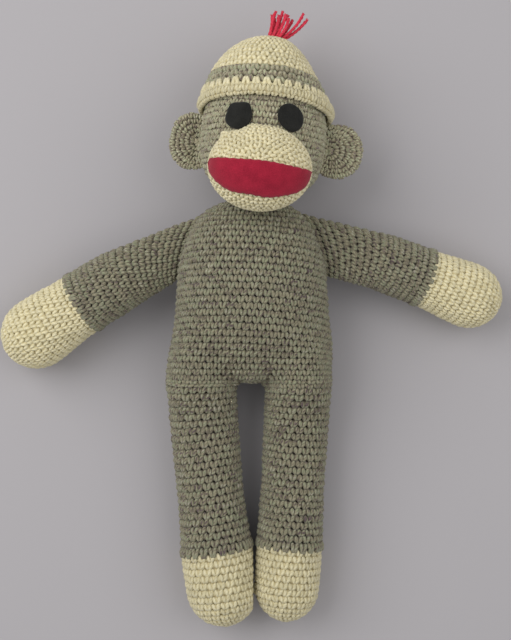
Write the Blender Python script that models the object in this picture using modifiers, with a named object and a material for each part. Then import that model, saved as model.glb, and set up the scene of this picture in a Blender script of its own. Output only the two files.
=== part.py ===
"""Crocheted sock monkey doll, lying on its back.

Units are metres and Z is up. The doll's head points to +Y and its own left side is at +X.
The floor is at Z = 0 and the origin is on the floor, under the middle of the doll.
Each crocheted cover is a shell with a stuffing core inside it.
"""

import math

import bmesh
import bpy
from mathutils import Euler, Matrix, Vector

# Clearances, overruns and the facets of balls, which serve the whole doll
GAP = 0.0004
STUFFING_GAP = 0.0007
BALL_SEGMENTS = 14
BALL_RINGS = 7
SOCKET_SEGMENTS = 24
SOCKET_RINGS = 12
FLAT_ANGLE = math.radians(0.5)
RESTING_FLAT = 0.0005
OVERRUN = 0.05
FLOOR_REACH = 0.4
MERGE = 0.00001

# Crocheted cover and felt
COVER_THICKNESS = 0.0035
FELT_THICKNESS = 0.0015

# Body
BODY_LENGTH = 0.137
BODY_BOTTOM_Y = -0.048
BODY_WIDTH = 0.122
BODY_DEPTH = 0.088
BODY_SEGMENTS = 24

# Neck, a ball joint of packed stuffing
NECK_X = 0.0045
NECK_Y = 0.091
NECK_Z = 0.042
NECK_WAD_RADIUS = 0.0155
HEAD_ROLL = math.radians(-5)

# Head, in the frame of the neck joint
HEAD_RISE = 0.059
HEAD_WIDTH = 0.092
HEAD_DEPTH = 0.093
HEAD_CHIN_HEIGHT = 0.059
HEAD_CROWN_HEIGHT = 0.0595
CHIN_EXPONENT = 2.3
CROWN_EXPONENT = 2.1
HEAD_SEGMENTS = 24
HEAD_RINGS = 6

# Muzzle
MUZZLE_WIDTH = 0.0755
MUZZLE_HEIGHT = 0.062
MUZZLE_DEPTH = 0.056
MUZZLE_X = -0.0003
MUZZLE_DROP = 0.0405
MUZZLE_FORWARD = 0.042
MUZZLE_SEGMENTS = 20
MUZZLE_RINGS = 10

# Mouth and eyes
MOUTH_WIDTH = 0.073
MOUTH_DROP = 0.0215
MOUTH_RISE = 0.0026
MOUTH_CORNER = 0.005
MOUTH_CORNER_STEPS = 3
MOUTH_STEPS = 12
EYE_DIAMETER = 0.0182
EYE_SPACING = 0.0375
LEFT_EYE_DROP = 0.0018
RIGHT_EYE_DROP = 0.0032
EYE_STEPS = 12

# Ears
EAR_HEIGHT = 0.042
LEFT_EAR_WIDTH = 0.0386
RIGHT_EAR_WIDTH = 0.0326
EAR_THICKNESS = 0.007
EAR_CUP_DEPTH = 0.004
LEFT_EAR_DROP = 0.0185
RIGHT_EAR_DROP = 0.0190
EAR_ROOT_INSET = 0.007
EAR_GAP = 0.0009
EAR_STEPS = 16
EAR_RINGS = 2

# Hat
HAT_THICKNESS = 0.0035
BAND_TILT = math.radians(-5)
BAND_BOTTOM_RISE = 0.0212
BAND_TOP_RISE = 0.0324
BRIM_TILT = math.radians(-9)
BRIM_RISE = 0.0085
BRIM_HEIGHT = 0.012
BRIM_THICKNESS = 0.0052
BRIM_STEPS = 24
BRIM_SIDES = 8

# Tassel of yarn ends
TASSEL_STRANDS = 8
TASSEL_LENGTH = 0.016
TASSEL_SPLAY = math.radians(22)
TASSEL_LEAN = math.radians(30)
TASSEL_KNOT_RADIUS = 0.0044
TASSEL_ROOT_RADIUS = 0.0034
YARN_DIAMETER = 0.0022
YARN_SIDES = 6

# Arms
ARM_ROOT_RADIUS = 0.0205
ARM_GIRTH_RADIUS = 0.0258
ARM_SINK = 0.002
ARM_Z = 0.042
ARM_COLOUR_CHANGE_SHARE = 0.53
LEFT_ARM_LENGTH = 0.1246
LEFT_ARM_DROOP = math.radians(17)
LEFT_ARM_Y = 0.0512
RIGHT_ARM_LENGTH = 0.1302
RIGHT_ARM_DROOP = math.radians(27)
RIGHT_ARM_Y = 0.0407

# Legs
LEG_COLOUR_CHANGE_SHARE = 0.69
LEFT_LEG_LENGTH = 0.184
LEFT_LEG_LEAN = math.radians(2.8)
LEFT_HIP_X = 0.0360
LEFT_LEG_GIRTH_RADIUS = 0.0252
RIGHT_LEG_LENGTH = 0.188
RIGHT_LEG_LEAN = math.radians(5.6)
RIGHT_HIP_X = -0.0392
RIGHT_LEG_GIRTH_RADIUS = 0.0262
HIP_Y = -0.048
LEG_SPREAD = math.radians(25)
LIMB_STEPS = 16
DOME_STEPS = 4
ROOT_HOLE_RADIUS = 0.008

# The head lies on the back of the hat's brim, which sets the head's height above the neck
BRIM_REACH = HEAD_DEPTH / 2 + GAP + BRIM_THICKNESS
BRIM_BACK = BRIM_REACH * math.cos(BRIM_TILT) - BRIM_RISE * math.sin(BRIM_TILT)
HEAD_LIFT = BRIM_BACK - RESTING_FLAT - NECK_Z

# Outline of the body as shares of its length, half width and half depth.
# Each row is height, half width, half depth and the height of the middle above the floor.
BODY_SHARES = (
    (0.000, 0.44, 0.26, 0.60),
    (0.045, 0.82, 0.54, 0.66),
    (0.115, 0.975, 0.72, 0.72),
    (0.205, 1.000, 0.86, 0.86),
    (0.330, 0.965, 0.965, 0.965),
    (0.510, 0.935, 1.000, 1.000),
    (0.665, 0.905, 0.98, 0.98),
    (0.765, 0.840, 0.935, 0.96),
    (0.840, 0.770, 0.865, 0.955),
    (0.897, 0.695, 0.765, 0.95),
    (0.942, 0.605, 0.655, 0.96),
    (0.978, 0.460, 0.505, 0.975),
    (1.000, 0.300, 0.350, 0.98),
)

# Outline of a limb as shares of its length and of its greatest radius, from the root down
ARM_SHARES = (
    (0.10, 0.80),
    (0.24, 0.885),
    (0.40, 0.905),
    (0.56, 0.92),
    (0.68, 0.97),
    (0.79, 1.00),
)
LEG_SHARES = (
    (0.12, 0.985),
    (0.28, 0.975),
    (0.44, 0.955),
    (0.58, 0.985),
    (0.72, 1.00),
    (0.855, 0.985),
)


def clear_scene():
    """Removes the objects that a new file starts with."""
    for thing in list(bpy.data.objects):
        bpy.data.objects.remove(thing, do_unlink=True)


def new_collection(name):
    """Adds a collection to the scene."""
    collection = bpy.data.collections.new(name)
    bpy.context.scene.collection.children.link(collection)
    return collection


def new_material(name, colour, roughness):
    """Makes a plain material with a colour and a roughness."""
    material = bpy.data.materials.new(name)
    material.use_nodes = True
    shader = material.node_tree.nodes["Principled BSDF"]
    shader.inputs["Base Color"].default_value = (*colour, 1.0)
    shader.inputs["Roughness"].default_value = roughness
    shader.inputs["Metallic"].default_value = 0.0
    return material


def link_mesh(name, mesh, material=None, parent=None):
    """Makes an object of a mesh, in the doll's collection or among the cutters."""
    thing = bpy.data.objects.new(name, mesh)
    if parent:
        thing.parent = parent
    if material:
        mesh.materials.append(material)
        mesh.shade_smooth()
        DOLL.objects.link(thing)
    else:
        thing.hide_render = True
        thing.display_type = "WIRE"
        CUTTERS.objects.link(thing)
    return thing


def mesh_from(bm, name):
    """Turns a bmesh into a mesh whose faces point out."""
    bmesh.ops.recalc_face_normals(bm, faces=bm.faces)
    mesh = bpy.data.meshes.new(name)
    bm.to_mesh(mesh)
    bm.free()
    return mesh


def new_frame(name, place, rotation=None, parent=None):
    """Adds an empty that carries pieces on a joint."""
    empty = bpy.data.objects.new(name, None)
    empty.location = place
    if rotation:
        empty.rotation_euler = rotation
    if parent:
        empty.parent = parent
    DOLL.objects.link(empty)
    return empty


def solidify(thing):
    """Gives a cover its thickness, inwards from its outer surface."""
    modifier = thing.modifiers.new("cover", "SOLIDIFY")
    modifier.thickness = COVER_THICKNESS
    modifier.offset = -1
    modifier.use_even_offset = True


def cut(thing, cutter, operation="DIFFERENCE"):
    """Cuts a piece by a cutter, or keeps what they share."""
    modifier = thing.modifiers.new(operation.lower(), "BOOLEAN")
    modifier.operation = operation
    modifier.solver = "EXACT"
    modifier.object = cutter


def ring_loft(name, rings, top=None, bottom=None):
    """Joins rings of points into a closed skin. A tip closes an end where it is given."""
    bm = bmesh.new()
    loops = [[bm.verts.new(point) for point in ring] for ring in rings]
    count = len(loops[0])
    for lower, upper in zip(loops, loops[1:]):
        for i in range(count):
            j = (i + 1) % count
            bm.faces.new((lower[i], lower[j], upper[j], upper[i]))
    for loop, tip in ((loops[0], bottom), (loops[-1], top)):
        if tip is None:
            bm.faces.new(loop)
            continue
        point = bm.verts.new(tip)
        for i in range(count):
            bm.faces.new((loop[i], loop[(i + 1) % count], point))
    return mesh_from(bm, name)


def ball(name, radius, place, material, parent=None):
    """Makes a ball."""
    bm = bmesh.new()
    bmesh.ops.create_uvsphere(bm, u_segments=BALL_SEGMENTS, v_segments=BALL_RINGS, radius=radius)
    thing = link_mesh(name, mesh_from(bm, name), material, parent)
    thing.location = place
    return thing


def block(name, low, high, parent=None, rotation=None):
    """Makes a box-shaped cutter between two corners."""
    bm = bmesh.new()
    bmesh.ops.create_cube(bm, size=1)
    size = Vector(high) - Vector(low)
    bmesh.ops.scale(bm, vec=size, verts=bm.verts)
    bmesh.ops.translate(bm, vec=Vector(low) + size / 2, verts=bm.verts)
    thing = link_mesh(name, mesh_from(bm, name), parent=parent)
    if rotation:
        thing.rotation_euler = rotation
    return thing


def socket(name, radius, place, reaches=()):
    """Makes the cutter that clears a ball, and the tube on it wherever the tube swings."""
    flats_share = math.cos(math.pi / SOCKET_SEGMENTS) * math.cos(math.pi / 2 / SOCKET_RINGS)
    bm = bmesh.new()
    for reach in (Vector(), *reaches):
        end = bmesh.ops.create_uvsphere(
            bm, u_segments=SOCKET_SEGMENTS, v_segments=SOCKET_RINGS,
            radius=(radius + GAP) / flats_share,
        )
        bmesh.ops.translate(bm, vec=reach, verts=end["verts"])
    if reaches:
        bmesh.ops.delete(bm, geom=bm.edges, context="EDGES_FACES")
        hull = bmesh.ops.convex_hull(bm, input=bm.verts)
        spare = [part for part in hull["geom_interior"] if isinstance(part, bmesh.types.BMVert)]
        bmesh.ops.delete(bm, geom=spare, context="VERTS")
        bmesh.ops.dissolve_limit(bm, angle_limit=FLAT_ANGLE, verts=bm.verts, edges=bm.edges)
    thing = link_mesh(name, mesh_from(bm, name))
    thing.location = place
    return thing


def body_solid(name, inset, material=None):
    """Makes the body's form, drawn in by an inset."""
    rings = []
    half_width = BODY_WIDTH / 2
    half_depth = BODY_DEPTH / 2
    for height, width_share, depth_share, middle_share in BODY_SHARES:
        inner_length = BODY_LENGTH - 2 * inset
        y = BODY_BOTTOM_Y + inset + height * inner_length
        wide = half_width * width_share - inset
        deep = half_depth * depth_share - inset
        middle = half_depth * middle_share - RESTING_FLAT
        ring = []
        for i in range(BODY_SEGMENTS):
            turn = 2 * math.pi * i / BODY_SEGMENTS
            ring.append((wide * math.cos(turn), y, middle + deep * math.sin(turn)))
        rings.append(ring)
    return link_mesh(name, ring_loft(name, rings), material)


def head_solid(name, offset, material=None):
    """Makes the head's outer form, moved out by an offset, in the frame of the neck joint."""
    wide = HEAD_WIDTH / 2 + offset
    deep = HEAD_DEPTH / 2 + offset
    rings = []
    for k in range(-HEAD_RINGS + 1, HEAD_RINGS):
        turn = math.pi / 2 * k / HEAD_RINGS
        if k < 0:
            tall = HEAD_CHIN_HEIGHT + offset
            power = 2 / CHIN_EXPONENT
        else:
            tall = HEAD_CROWN_HEIGHT + offset
            power = 2 / CROWN_EXPONENT
        y = HEAD_RISE + math.copysign(tall * abs(math.sin(turn)) ** power, turn)
        share = math.cos(turn) ** power
        ring = []
        for i in range(HEAD_SEGMENTS):
            around = 2 * math.pi * i / HEAD_SEGMENTS
            x = wide * share * math.cos(around)
            z = HEAD_LIFT + deep * share * math.sin(around)
            ring.append((x, y, z))
        rings.append(ring)
    bottom = (0, HEAD_RISE - HEAD_CHIN_HEIGHT - offset, HEAD_LIFT)
    top = (0, HEAD_RISE + HEAD_CROWN_HEIGHT + offset, HEAD_LIFT)
    mesh = ring_loft(name, rings, top, bottom)
    return link_mesh(name, mesh, material, HEAD_FRAME)


def muzzle_solid(name, offset, material=None):
    """Makes the muzzle's outer form, moved out by an offset."""
    bm = bmesh.new()
    bmesh.ops.create_uvsphere(bm, u_segments=MUZZLE_SEGMENTS, v_segments=MUZZLE_RINGS, radius=1)
    size = (MUZZLE_WIDTH / 2 + offset, MUZZLE_HEIGHT / 2 + offset, MUZZLE_DEPTH / 2 + offset)
    bmesh.ops.scale(bm, vec=size, verts=bm.verts)
    bmesh.ops.translate(bm, vec=MUZZLE_CENTRE, verts=bm.verts)
    return link_mesh(name, mesh_from(bm, name), material, HEAD_FRAME)


def prism(name, outline, centre):
    """Makes an upright cutter from a flat outline, standing on a centre inside the face."""
    bm = bmesh.new()
    low = [bm.verts.new(Vector((x, y, 0)) + Vector(centre)) for x, y in outline]
    base = bm.faces.new(low)
    raised = bmesh.ops.extrude_face_region(bm, geom=[base])
    verts = [part for part in raised["geom"] if isinstance(part, bmesh.types.BMVert)]
    bmesh.ops.translate(bm, vec=(0, 0, HEAD_WIDTH * 2), verts=verts)
    return link_mesh(name, mesh_from(bm, name), parent=HEAD_FRAME)


def limb_profile(shares, length, root_radius, girth_radius, inset=0.0):
    """Gives a limb's outline from its root dome to its tip, as radius and distance pairs."""
    points = []
    inner_root = root_radius - inset
    for k in range(DOME_STEPS):
        turn = math.pi / 2 * k / DOME_STEPS
        points.append((inner_root * math.sin(turn), inner_root * math.cos(turn)))
    points.append((inner_root, 0.0))
    for along, share in shares:
        points.append((girth_radius * share - inset, -length * along))
    end_along, end_share = shares[-1]
    end_radius = girth_radius * end_share - inset
    end_length = length * (1 - end_along) - inset
    for k in range(1, DOME_STEPS + 1):
        turn = math.pi / 2 * k / DOME_STEPS
        radius = end_radius * math.cos(turn)
        points.append((radius, -length * end_along - end_length * math.sin(turn)))
    points[-1] = (0.0, -length + inset)
    return points


def between(profile, top, bottom):
    """Keeps the part of an outline that lies between two heights."""
    kept = []
    for (r0, z0), (r1, z1) in zip(profile, profile[1:]):
        for height in (top, bottom):
            if z0 > height > z1:
                share = (z0 - height) / (z0 - z1)
                kept.append((r0 + share * (r1 - r0), height))
        if top > z1 > bottom:
            kept.append((r1, z1))
    return sorted(set(kept), key=lambda point: -point[1])


def turned(name, profile, material, parent, steps=LIMB_STEPS):
    """Turns an outline round the limb's axis."""
    mesh = bpy.data.meshes.new(name)
    points = [(radius, 0.0, height) for radius, height in profile]
    edges = [(i, i + 1) for i in range(len(points) - 1)]
    mesh.from_pydata(points, edges, [])
    thing = link_mesh(name, mesh, material, parent)
    screw = thing.modifiers.new("turned", "SCREW")
    screw.axis = "Z"
    screw.steps = steps
    screw.render_steps = steps
    screw.use_merge_vertices = True
    screw.merge_threshold = MERGE
    screw.use_smooth_shade = True
    return thing


def limb(side, kind, frame, shares, length, root_radius, girth_radius, change_share, names):
    """Makes a limb's tweed tube, its cream end, its stuffing and the wad at its root."""
    profile = limb_profile(shares, length, root_radius, girth_radius)
    change = -length * change_share
    hole = math.sqrt(root_radius**2 - ROOT_HOLE_RADIUS**2)
    tube_name, end_name = names
    tube_outline = between(profile, hole, change + GAP / 2)
    end_outline = between(profile, change - GAP / 2, -length) + [(0.0, -length)]
    tube = turned(f"{side}_{tube_name}", tube_outline, TWEED, frame)
    end = turned(f"{side}_{end_name}", end_outline, CREAM, frame)
    for cover in (tube, end):
        solidify(cover)
    facet_share = math.cos(math.pi / 4 / DOME_STEPS) * math.cos(math.pi / LIMB_STEPS)
    wad_radius = (root_radius - COVER_THICKNESS) * facet_share - GAP
    inset = COVER_THICKNESS + STUFFING_GAP
    core = limb_profile(shares, length, root_radius, girth_radius, inset)
    core_top = -wad_radius - GAP
    outline = between(core, core_top, -length)
    core_outline = [(0.0, core_top)] + outline + [(0.0, -length + inset)]
    stuffing = turned(f"{side}_{kind}_stuffing", core_outline, STUFFING, frame)
    return tube, end, stuffing, wad_radius


def make_arm(side, sign, length, droop, shoulder_y):
    """Makes one arm. Its hand lies on the floor."""
    surface = body_half_width(shoulder_y)
    shoulder = Vector((sign * (surface + ARM_ROOT_RADIUS + GAP - ARM_SINK), shoulder_y, ARM_Z))
    hand_share, hand_radius_share = ARM_SHARES[-1]
    fall = ARM_Z - (ARM_GIRTH_RADIUS * hand_radius_share - RESTING_FLAT)
    slope = math.asin(fall / (length * hand_share))
    reach = math.cos(slope)
    direction = Vector((sign * math.cos(droop) * reach, -math.sin(droop) * reach, -math.sin(slope)))
    frame = new_frame(f"{side}_shoulder", shoulder, direction.to_track_quat("-Z", "Y").to_euler())
    tube, end, stuffing, wad_radius = limb(
        side, "arm", frame, ARM_SHARES, length, ARM_ROOT_RADIUS, ARM_GIRTH_RADIUS,
        ARM_COLOUR_CHANGE_SHARE, ("sleeve", "hand"),
    )
    ball(f"{side}_shoulder_stuffing", wad_radius, (0, 0, 0), STUFFING, frame)
    for piece in (tube, end):
        cut(piece, FLOOR)
    return [socket(f"{side}_shoulder_socket", ARM_ROOT_RADIUS, shoulder)]


def make_leg(side, hip_x, length, lean, girth_radius):
    """Makes one leg and the cutter that clears its forward swing and its spread."""
    hip = Vector((hip_x, HIP_Y, girth_radius - RESTING_FLAT))
    toward_middle = -math.copysign(math.sin(lean), hip_x)
    direction = Vector((toward_middle, -math.cos(lean), 0))
    frame = new_frame(f"{side}_hip", hip, direction.to_track_quat("-Z", "Y").to_euler())
    tube, end, stuffing, wad_radius = limb(
        side, "leg", frame, LEG_SHARES, length, girth_radius, girth_radius,
        LEG_COLOUR_CHANGE_SHARE, ("leg", "foot"),
    )
    ball(f"{side}_hip_stuffing", wad_radius, (0, 0, 0), STUFFING, frame)
    for piece in (tube, end):
        cut(piece, FLOOR)
    reaches = []
    for spread in (0, LEG_SPREAD):
        out = math.copysign(1, hip_x) * math.sin(spread - lean)
        down = Vector((out, -math.cos(spread - lean), 0)) * OVERRUN
        forward = Vector((down.x, 0, -down.y)) * 2
        reaches += [down, forward, down + forward]
    return [socket(f"{side}_hip_socket", girth_radius, hip, reaches)]


def body_half_width(y):
    """Gives the body's half width at a height."""
    height = (y - BODY_BOTTOM_Y) / BODY_LENGTH
    for lower, upper in zip(BODY_SHARES, BODY_SHARES[1:]):
        if lower[0] <= height <= upper[0]:
            share = (height - lower[0]) / (upper[0] - lower[0])
            return BODY_WIDTH / 2 * (lower[1] + share * (upper[1] - lower[1]))
    return 0.0


def make_body(cutters):
    """Makes the body's cover and its stuffing, open at the neck, and the neck wad."""
    cover = body_solid("torso_cover", 0.0, TWEED)
    cut(cover, body_solid("torso_hollow", COVER_THICKNESS))
    core = body_solid("torso_stuffing", COVER_THICKNESS + STUFFING_GAP, STUFFING)
    for cutter in cutters:
        cut(cover, cutter)
        cut(core, cutter)
    cut(cover, FLOOR)
    wad = ball("neck_stuffing", NECK_WAD_RADIUS, (NECK_X, NECK_Y, NECK_Z), STUFFING)
    return wad


def make_head(neck_socket):
    """Makes the head's cover and its stuffing."""
    cover = head_solid("head_cover", 0.0, TWEED)
    cut(cover, head_solid("head_hollow", -COVER_THICKNESS))
    core = head_solid("head_stuffing", -COVER_THICKNESS - STUFFING_GAP, STUFFING)
    for piece in (cover, core):
        cut(piece, neck_socket)


def make_muzzle(head_clearance):
    """Makes the muzzle's cover, open against the face, and its stuffing."""
    cover = muzzle_solid("muzzle_cover", 0.0, CREAM)
    cut(cover, muzzle_solid("muzzle_hollow", -COVER_THICKNESS))
    core = muzzle_solid("muzzle_stuffing", -COVER_THICKNESS - STUFFING_GAP, STUFFING)
    for piece in (cover, core):
        cut(piece, head_clearance)


def make_mouth():
    """Makes the half-moon of felt that lies on the muzzle, with round corners."""
    half = MOUTH_WIDTH / 2
    outline = []
    for k in range(MOUTH_STEPS + 1):
        turn = math.pi * k / MOUTH_STEPS
        outline.append((-half * math.cos(turn), -MOUTH_DROP * math.sin(turn)))
    for side in (1, -1):
        for k in range(1, MOUTH_CORNER_STEPS + 1):
            turn = math.pi / 2 * k / MOUTH_CORNER_STEPS
            if side < 0:
                turn = math.pi / 2 * (MOUTH_CORNER_STEPS - k) / MOUTH_CORNER_STEPS
            x = half - MOUTH_CORNER + MOUTH_CORNER * math.cos(turn)
            outline.append((side * x, MOUTH_RISE * math.sin(turn)))
    outline.pop()
    felt = muzzle_solid("mouth", GAP + FELT_THICKNESS, RED_FELT)
    cut(felt, prism("mouth_outline", outline, MUZZLE_CENTRE), "INTERSECT")
    cut(felt, muzzle_solid("mouth_backing", GAP))


def make_eyes(head_clearance):
    """Makes the two round felt eyes."""
    radius = EYE_DIAMETER / 2
    for side, sign, drop in (("left", 1, LEFT_EYE_DROP), ("right", -1, RIGHT_EYE_DROP)):
        outline = []
        for k in range(EYE_STEPS):
            turn = 2 * math.pi * k / EYE_STEPS
            outline.append((radius * math.cos(turn), radius * math.sin(turn)))
        felt = head_solid(f"{side}_eye", GAP + FELT_THICKNESS, BLACK_FELT)
        centre = (sign * EYE_SPACING / 2, HEAD_RISE - drop, HEAD_LIFT)
        cut(felt, prism(f"{side}_eye_outline", outline, centre), "INTERSECT")
        cut(felt, head_clearance)


def ear_mesh(name, sign, width):
    """Makes a cupped ear that faces forward, with its middle a half width out from its seam."""
    half_width = width / 2
    half_height = EAR_HEIGHT / 2
    half_thickness = EAR_THICKNESS / 2
    middle = sign * (half_width - EAR_ROOT_INSET)
    rings = []
    for k in range(-EAR_RINGS, EAR_RINGS + 1):
        turn = math.pi / 2 * k / (EAR_RINGS + 1)
        reach = math.cos(turn)
        lift = EAR_CUP_DEPTH * (reach**2 - 1) + half_thickness * math.sin(turn)
        ring = []
        for i in range(EAR_STEPS):
            around = 2 * math.pi * i / EAR_STEPS
            x = middle + half_width * reach * math.cos(around)
            ring.append((x, half_height * reach * math.sin(around), lift))
        rings.append(ring)
    top = (middle, 0, half_thickness - EAR_CUP_DEPTH)
    bottom = (middle, 0, -half_thickness - EAR_CUP_DEPTH)
    return ring_loft(name, rings, top, bottom)


def make_ears():
    """Makes the two cupped ears, each on a frame at its sewn edge."""
    clearance = head_solid("ear_clearance", EAR_GAP)
    for side, sign, width, drop in (
        ("left", 1, LEFT_EAR_WIDTH, LEFT_EAR_DROP),
        ("right", -1, RIGHT_EAR_WIDTH, RIGHT_EAR_DROP),
    ):
        seam = (sign * HEAD_WIDTH / 2, HEAD_RISE - drop, HEAD_LIFT)
        frame = new_frame(f"{side}_ear_seam", seam, parent=HEAD_FRAME)
        ear = link_mesh(f"{side}_ear", ear_mesh(f"{side}_ear", sign, width), TWEED, frame)
        cut(ear, clearance)


def slab(name, low_rise, high_rise, tilt):
    """Makes a cutter between two heights on the head, tilted as that part of the hat is."""
    wide = HEAD_WIDTH
    low = (-wide, low_rise, -wide)
    high = (wide, high_rise, wide)
    thing = block(name, low, high, HEAD_FRAME, Euler((tilt, 0, 0)))
    thing.location = (0, HEAD_RISE, HEAD_LIFT)
    return thing


def make_hat(head_clearance):
    """Makes the hat's crown, band, side and rolled brim."""
    reach = HEAD_WIDTH
    brim_top = BRIM_RISE + BRIM_HEIGHT / 2
    edges = (
        ("hat_crown", CREAM, BAND_TOP_RISE + GAP / 2, reach),
        ("hat_band", TWEED, BAND_BOTTOM_RISE + GAP / 2, BAND_TOP_RISE - GAP / 2),
        ("hat_side", CREAM, -reach, BAND_BOTTOM_RISE - GAP / 2),
    )
    below = slab("brim_slab", -reach, brim_top + GAP, BRIM_TILT)
    for name, material, low, high in edges:
        piece = head_solid(name, GAP + HAT_THICKNESS, material)
        cut(piece, slab(f"{name}_slab", low, high, BAND_TILT), "INTERSECT")
        cut(piece, head_clearance)
        cut(piece, below)
    rings = []
    for i in range(BRIM_STEPS):
        around = 2 * math.pi * i / BRIM_STEPS
        ring = []
        for k in range(BRIM_SIDES):
            turn = 2 * math.pi * k / BRIM_SIDES
            out = GAP + BRIM_THICKNESS / 2 * (1 + math.cos(turn))
            x = (HEAD_WIDTH / 2 + out) * math.cos(around)
            z = (HEAD_DEPTH / 2 + out) * math.sin(around)
            ring.append((x, BRIM_HEIGHT / 2 * math.sin(turn), z))
        rings.append(ring)
    mesh = closed_sweep("hat_brim", rings)
    brim = link_mesh("hat_brim", mesh, CREAM, HEAD_FRAME)
    tilt = Euler((BRIM_TILT, 0, 0))
    brim.rotation_euler = tilt
    brim.location = Vector((0, HEAD_RISE, HEAD_LIFT)) + tilt.to_matrix() @ Vector((0, BRIM_RISE, 0))
    cut(brim, head_clearance)
    cut(brim, FLOOR)


def closed_sweep(name, rings):
    """Joins rings of points that come round to the first again, as a brim does."""
    bm = bmesh.new()
    loops = [[bm.verts.new(point) for point in ring] for ring in rings]
    count = len(loops[0])
    for n, lower in enumerate(loops):
        upper = loops[(n + 1) % len(loops)]
        for i in range(count):
            j = (i + 1) % count
            bm.faces.new((lower[i], lower[j], upper[j], upper[i]))
    return mesh_from(bm, name)


def make_tassel():
    """Makes the tassel: yarn ends fanned out from a knot on the middle of the crown."""
    crown_top = HEAD_RISE + HEAD_CROWN_HEIGHT + GAP + HAT_THICKNESS
    root = Vector((0, crown_top + GAP + TASSEL_KNOT_RADIUS, HEAD_LIFT))
    lean = Vector((math.sin(TASSEL_LEAN), math.cos(TASSEL_LEAN), 0))
    joined = bmesh.new()
    for k in range(TASSEL_STRANDS):
        turn = 2 * math.pi * k / TASSEL_STRANDS
        out = Vector((math.cos(turn), 0, math.sin(turn)))
        foot = root + out * TASSEL_ROOT_RADIUS
        run = (lean + out * math.tan(TASSEL_SPLAY)).normalized()
        strand = bmesh.ops.create_cone(
            joined, cap_ends=True, segments=YARN_SIDES, radius1=YARN_DIAMETER / 2,
            radius2=YARN_DIAMETER / 2, depth=TASSEL_LENGTH,
        )
        place = Matrix.Translation(foot + run * TASSEL_LENGTH / 2)
        turned_to = run.to_track_quat("Z", "X").to_matrix().to_4x4()
        bmesh.ops.transform(joined, matrix=place @ turned_to, verts=strand["verts"])
    strands = link_mesh("tassel_strands", mesh_from(joined, "tassel_strands"), parent=HEAD_FRAME)
    knot = ball("tassel", TASSEL_KNOT_RADIUS, root, RED_YARN, HEAD_FRAME)
    cut(knot, strands, "UNION")


clear_scene()
DOLL = new_collection("sock_monkey_doll")
CUTTERS = new_collection("cutters")

TWEED = new_material("tweed_yarn", (0.30, 0.265, 0.19), 0.95)
CREAM = new_material("cream_yarn", (0.70, 0.64, 0.38), 0.95)
STUFFING = new_material("fibrefill", (0.85, 0.85, 0.83), 1.0)
RED_FELT = new_material("red_felt", (0.42, 0.018, 0.035), 0.98)
BLACK_FELT = new_material("black_felt", (0.016, 0.016, 0.015), 0.98)
RED_YARN = new_material("red_yarn", (0.60, 0.03, 0.06), 0.95)

HEAD_FRAME = new_frame("neck", (NECK_X, NECK_Y, NECK_Z), (0, 0, HEAD_ROLL))
MUZZLE_CENTRE = (MUZZLE_X, HEAD_RISE - MUZZLE_DROP, HEAD_LIFT + MUZZLE_FORWARD)
FLOOR = block("floor", (-FLOOR_REACH, -FLOOR_REACH, -FLOOR_REACH), (FLOOR_REACH, FLOOR_REACH, 0))

body_cutters = make_arm("left", 1, LEFT_ARM_LENGTH, LEFT_ARM_DROOP, LEFT_ARM_Y)
body_cutters += make_arm("right", -1, RIGHT_ARM_LENGTH, RIGHT_ARM_DROOP, RIGHT_ARM_Y)
body_cutters += make_leg(
    "left", LEFT_HIP_X, LEFT_LEG_LENGTH, LEFT_LEG_LEAN, LEFT_LEG_GIRTH_RADIUS
)
body_cutters += make_leg(
    "right", RIGHT_HIP_X, RIGHT_LEG_LENGTH, RIGHT_LEG_LEAN, RIGHT_LEG_GIRTH_RADIUS
)
neck_socket = socket("neck_socket", NECK_WAD_RADIUS, (NECK_X, NECK_Y, NECK_Z))
make_body(body_cutters + [neck_socket])

head_clearance = head_solid("head_clearance", GAP)
make_head(neck_socket)
make_muzzle(head_clearance)
make_mouth()
make_eyes(head_clearance)
make_ears()
make_hat(head_clearance)
make_tassel()
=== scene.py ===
"""Looks of a crocheted sock monkey doll, lying on its back on a plain floor.

Each crocheted cover is made stitch by stitch. A cover's form is given as closed loops, one for each
row of crochet, and every stitch on a row is two short strands of yarn that make a V.
Lengths are in metres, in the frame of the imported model.
"""

import math
from types import SimpleNamespace

import bpy
import numpy as np
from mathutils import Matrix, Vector


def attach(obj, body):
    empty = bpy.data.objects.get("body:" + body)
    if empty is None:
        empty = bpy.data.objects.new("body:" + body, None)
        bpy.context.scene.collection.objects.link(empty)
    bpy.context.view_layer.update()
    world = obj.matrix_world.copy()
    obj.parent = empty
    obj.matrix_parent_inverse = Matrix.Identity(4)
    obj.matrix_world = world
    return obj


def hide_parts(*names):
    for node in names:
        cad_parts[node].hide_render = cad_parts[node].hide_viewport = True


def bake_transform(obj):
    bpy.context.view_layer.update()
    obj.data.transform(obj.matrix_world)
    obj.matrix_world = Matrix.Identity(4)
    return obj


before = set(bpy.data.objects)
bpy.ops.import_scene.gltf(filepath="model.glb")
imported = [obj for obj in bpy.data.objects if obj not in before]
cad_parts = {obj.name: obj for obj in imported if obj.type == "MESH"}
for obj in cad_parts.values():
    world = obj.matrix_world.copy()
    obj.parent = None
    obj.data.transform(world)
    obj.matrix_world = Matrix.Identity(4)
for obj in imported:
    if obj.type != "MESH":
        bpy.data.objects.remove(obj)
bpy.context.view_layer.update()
RANDOM = np.random.default_rng(20)

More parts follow.
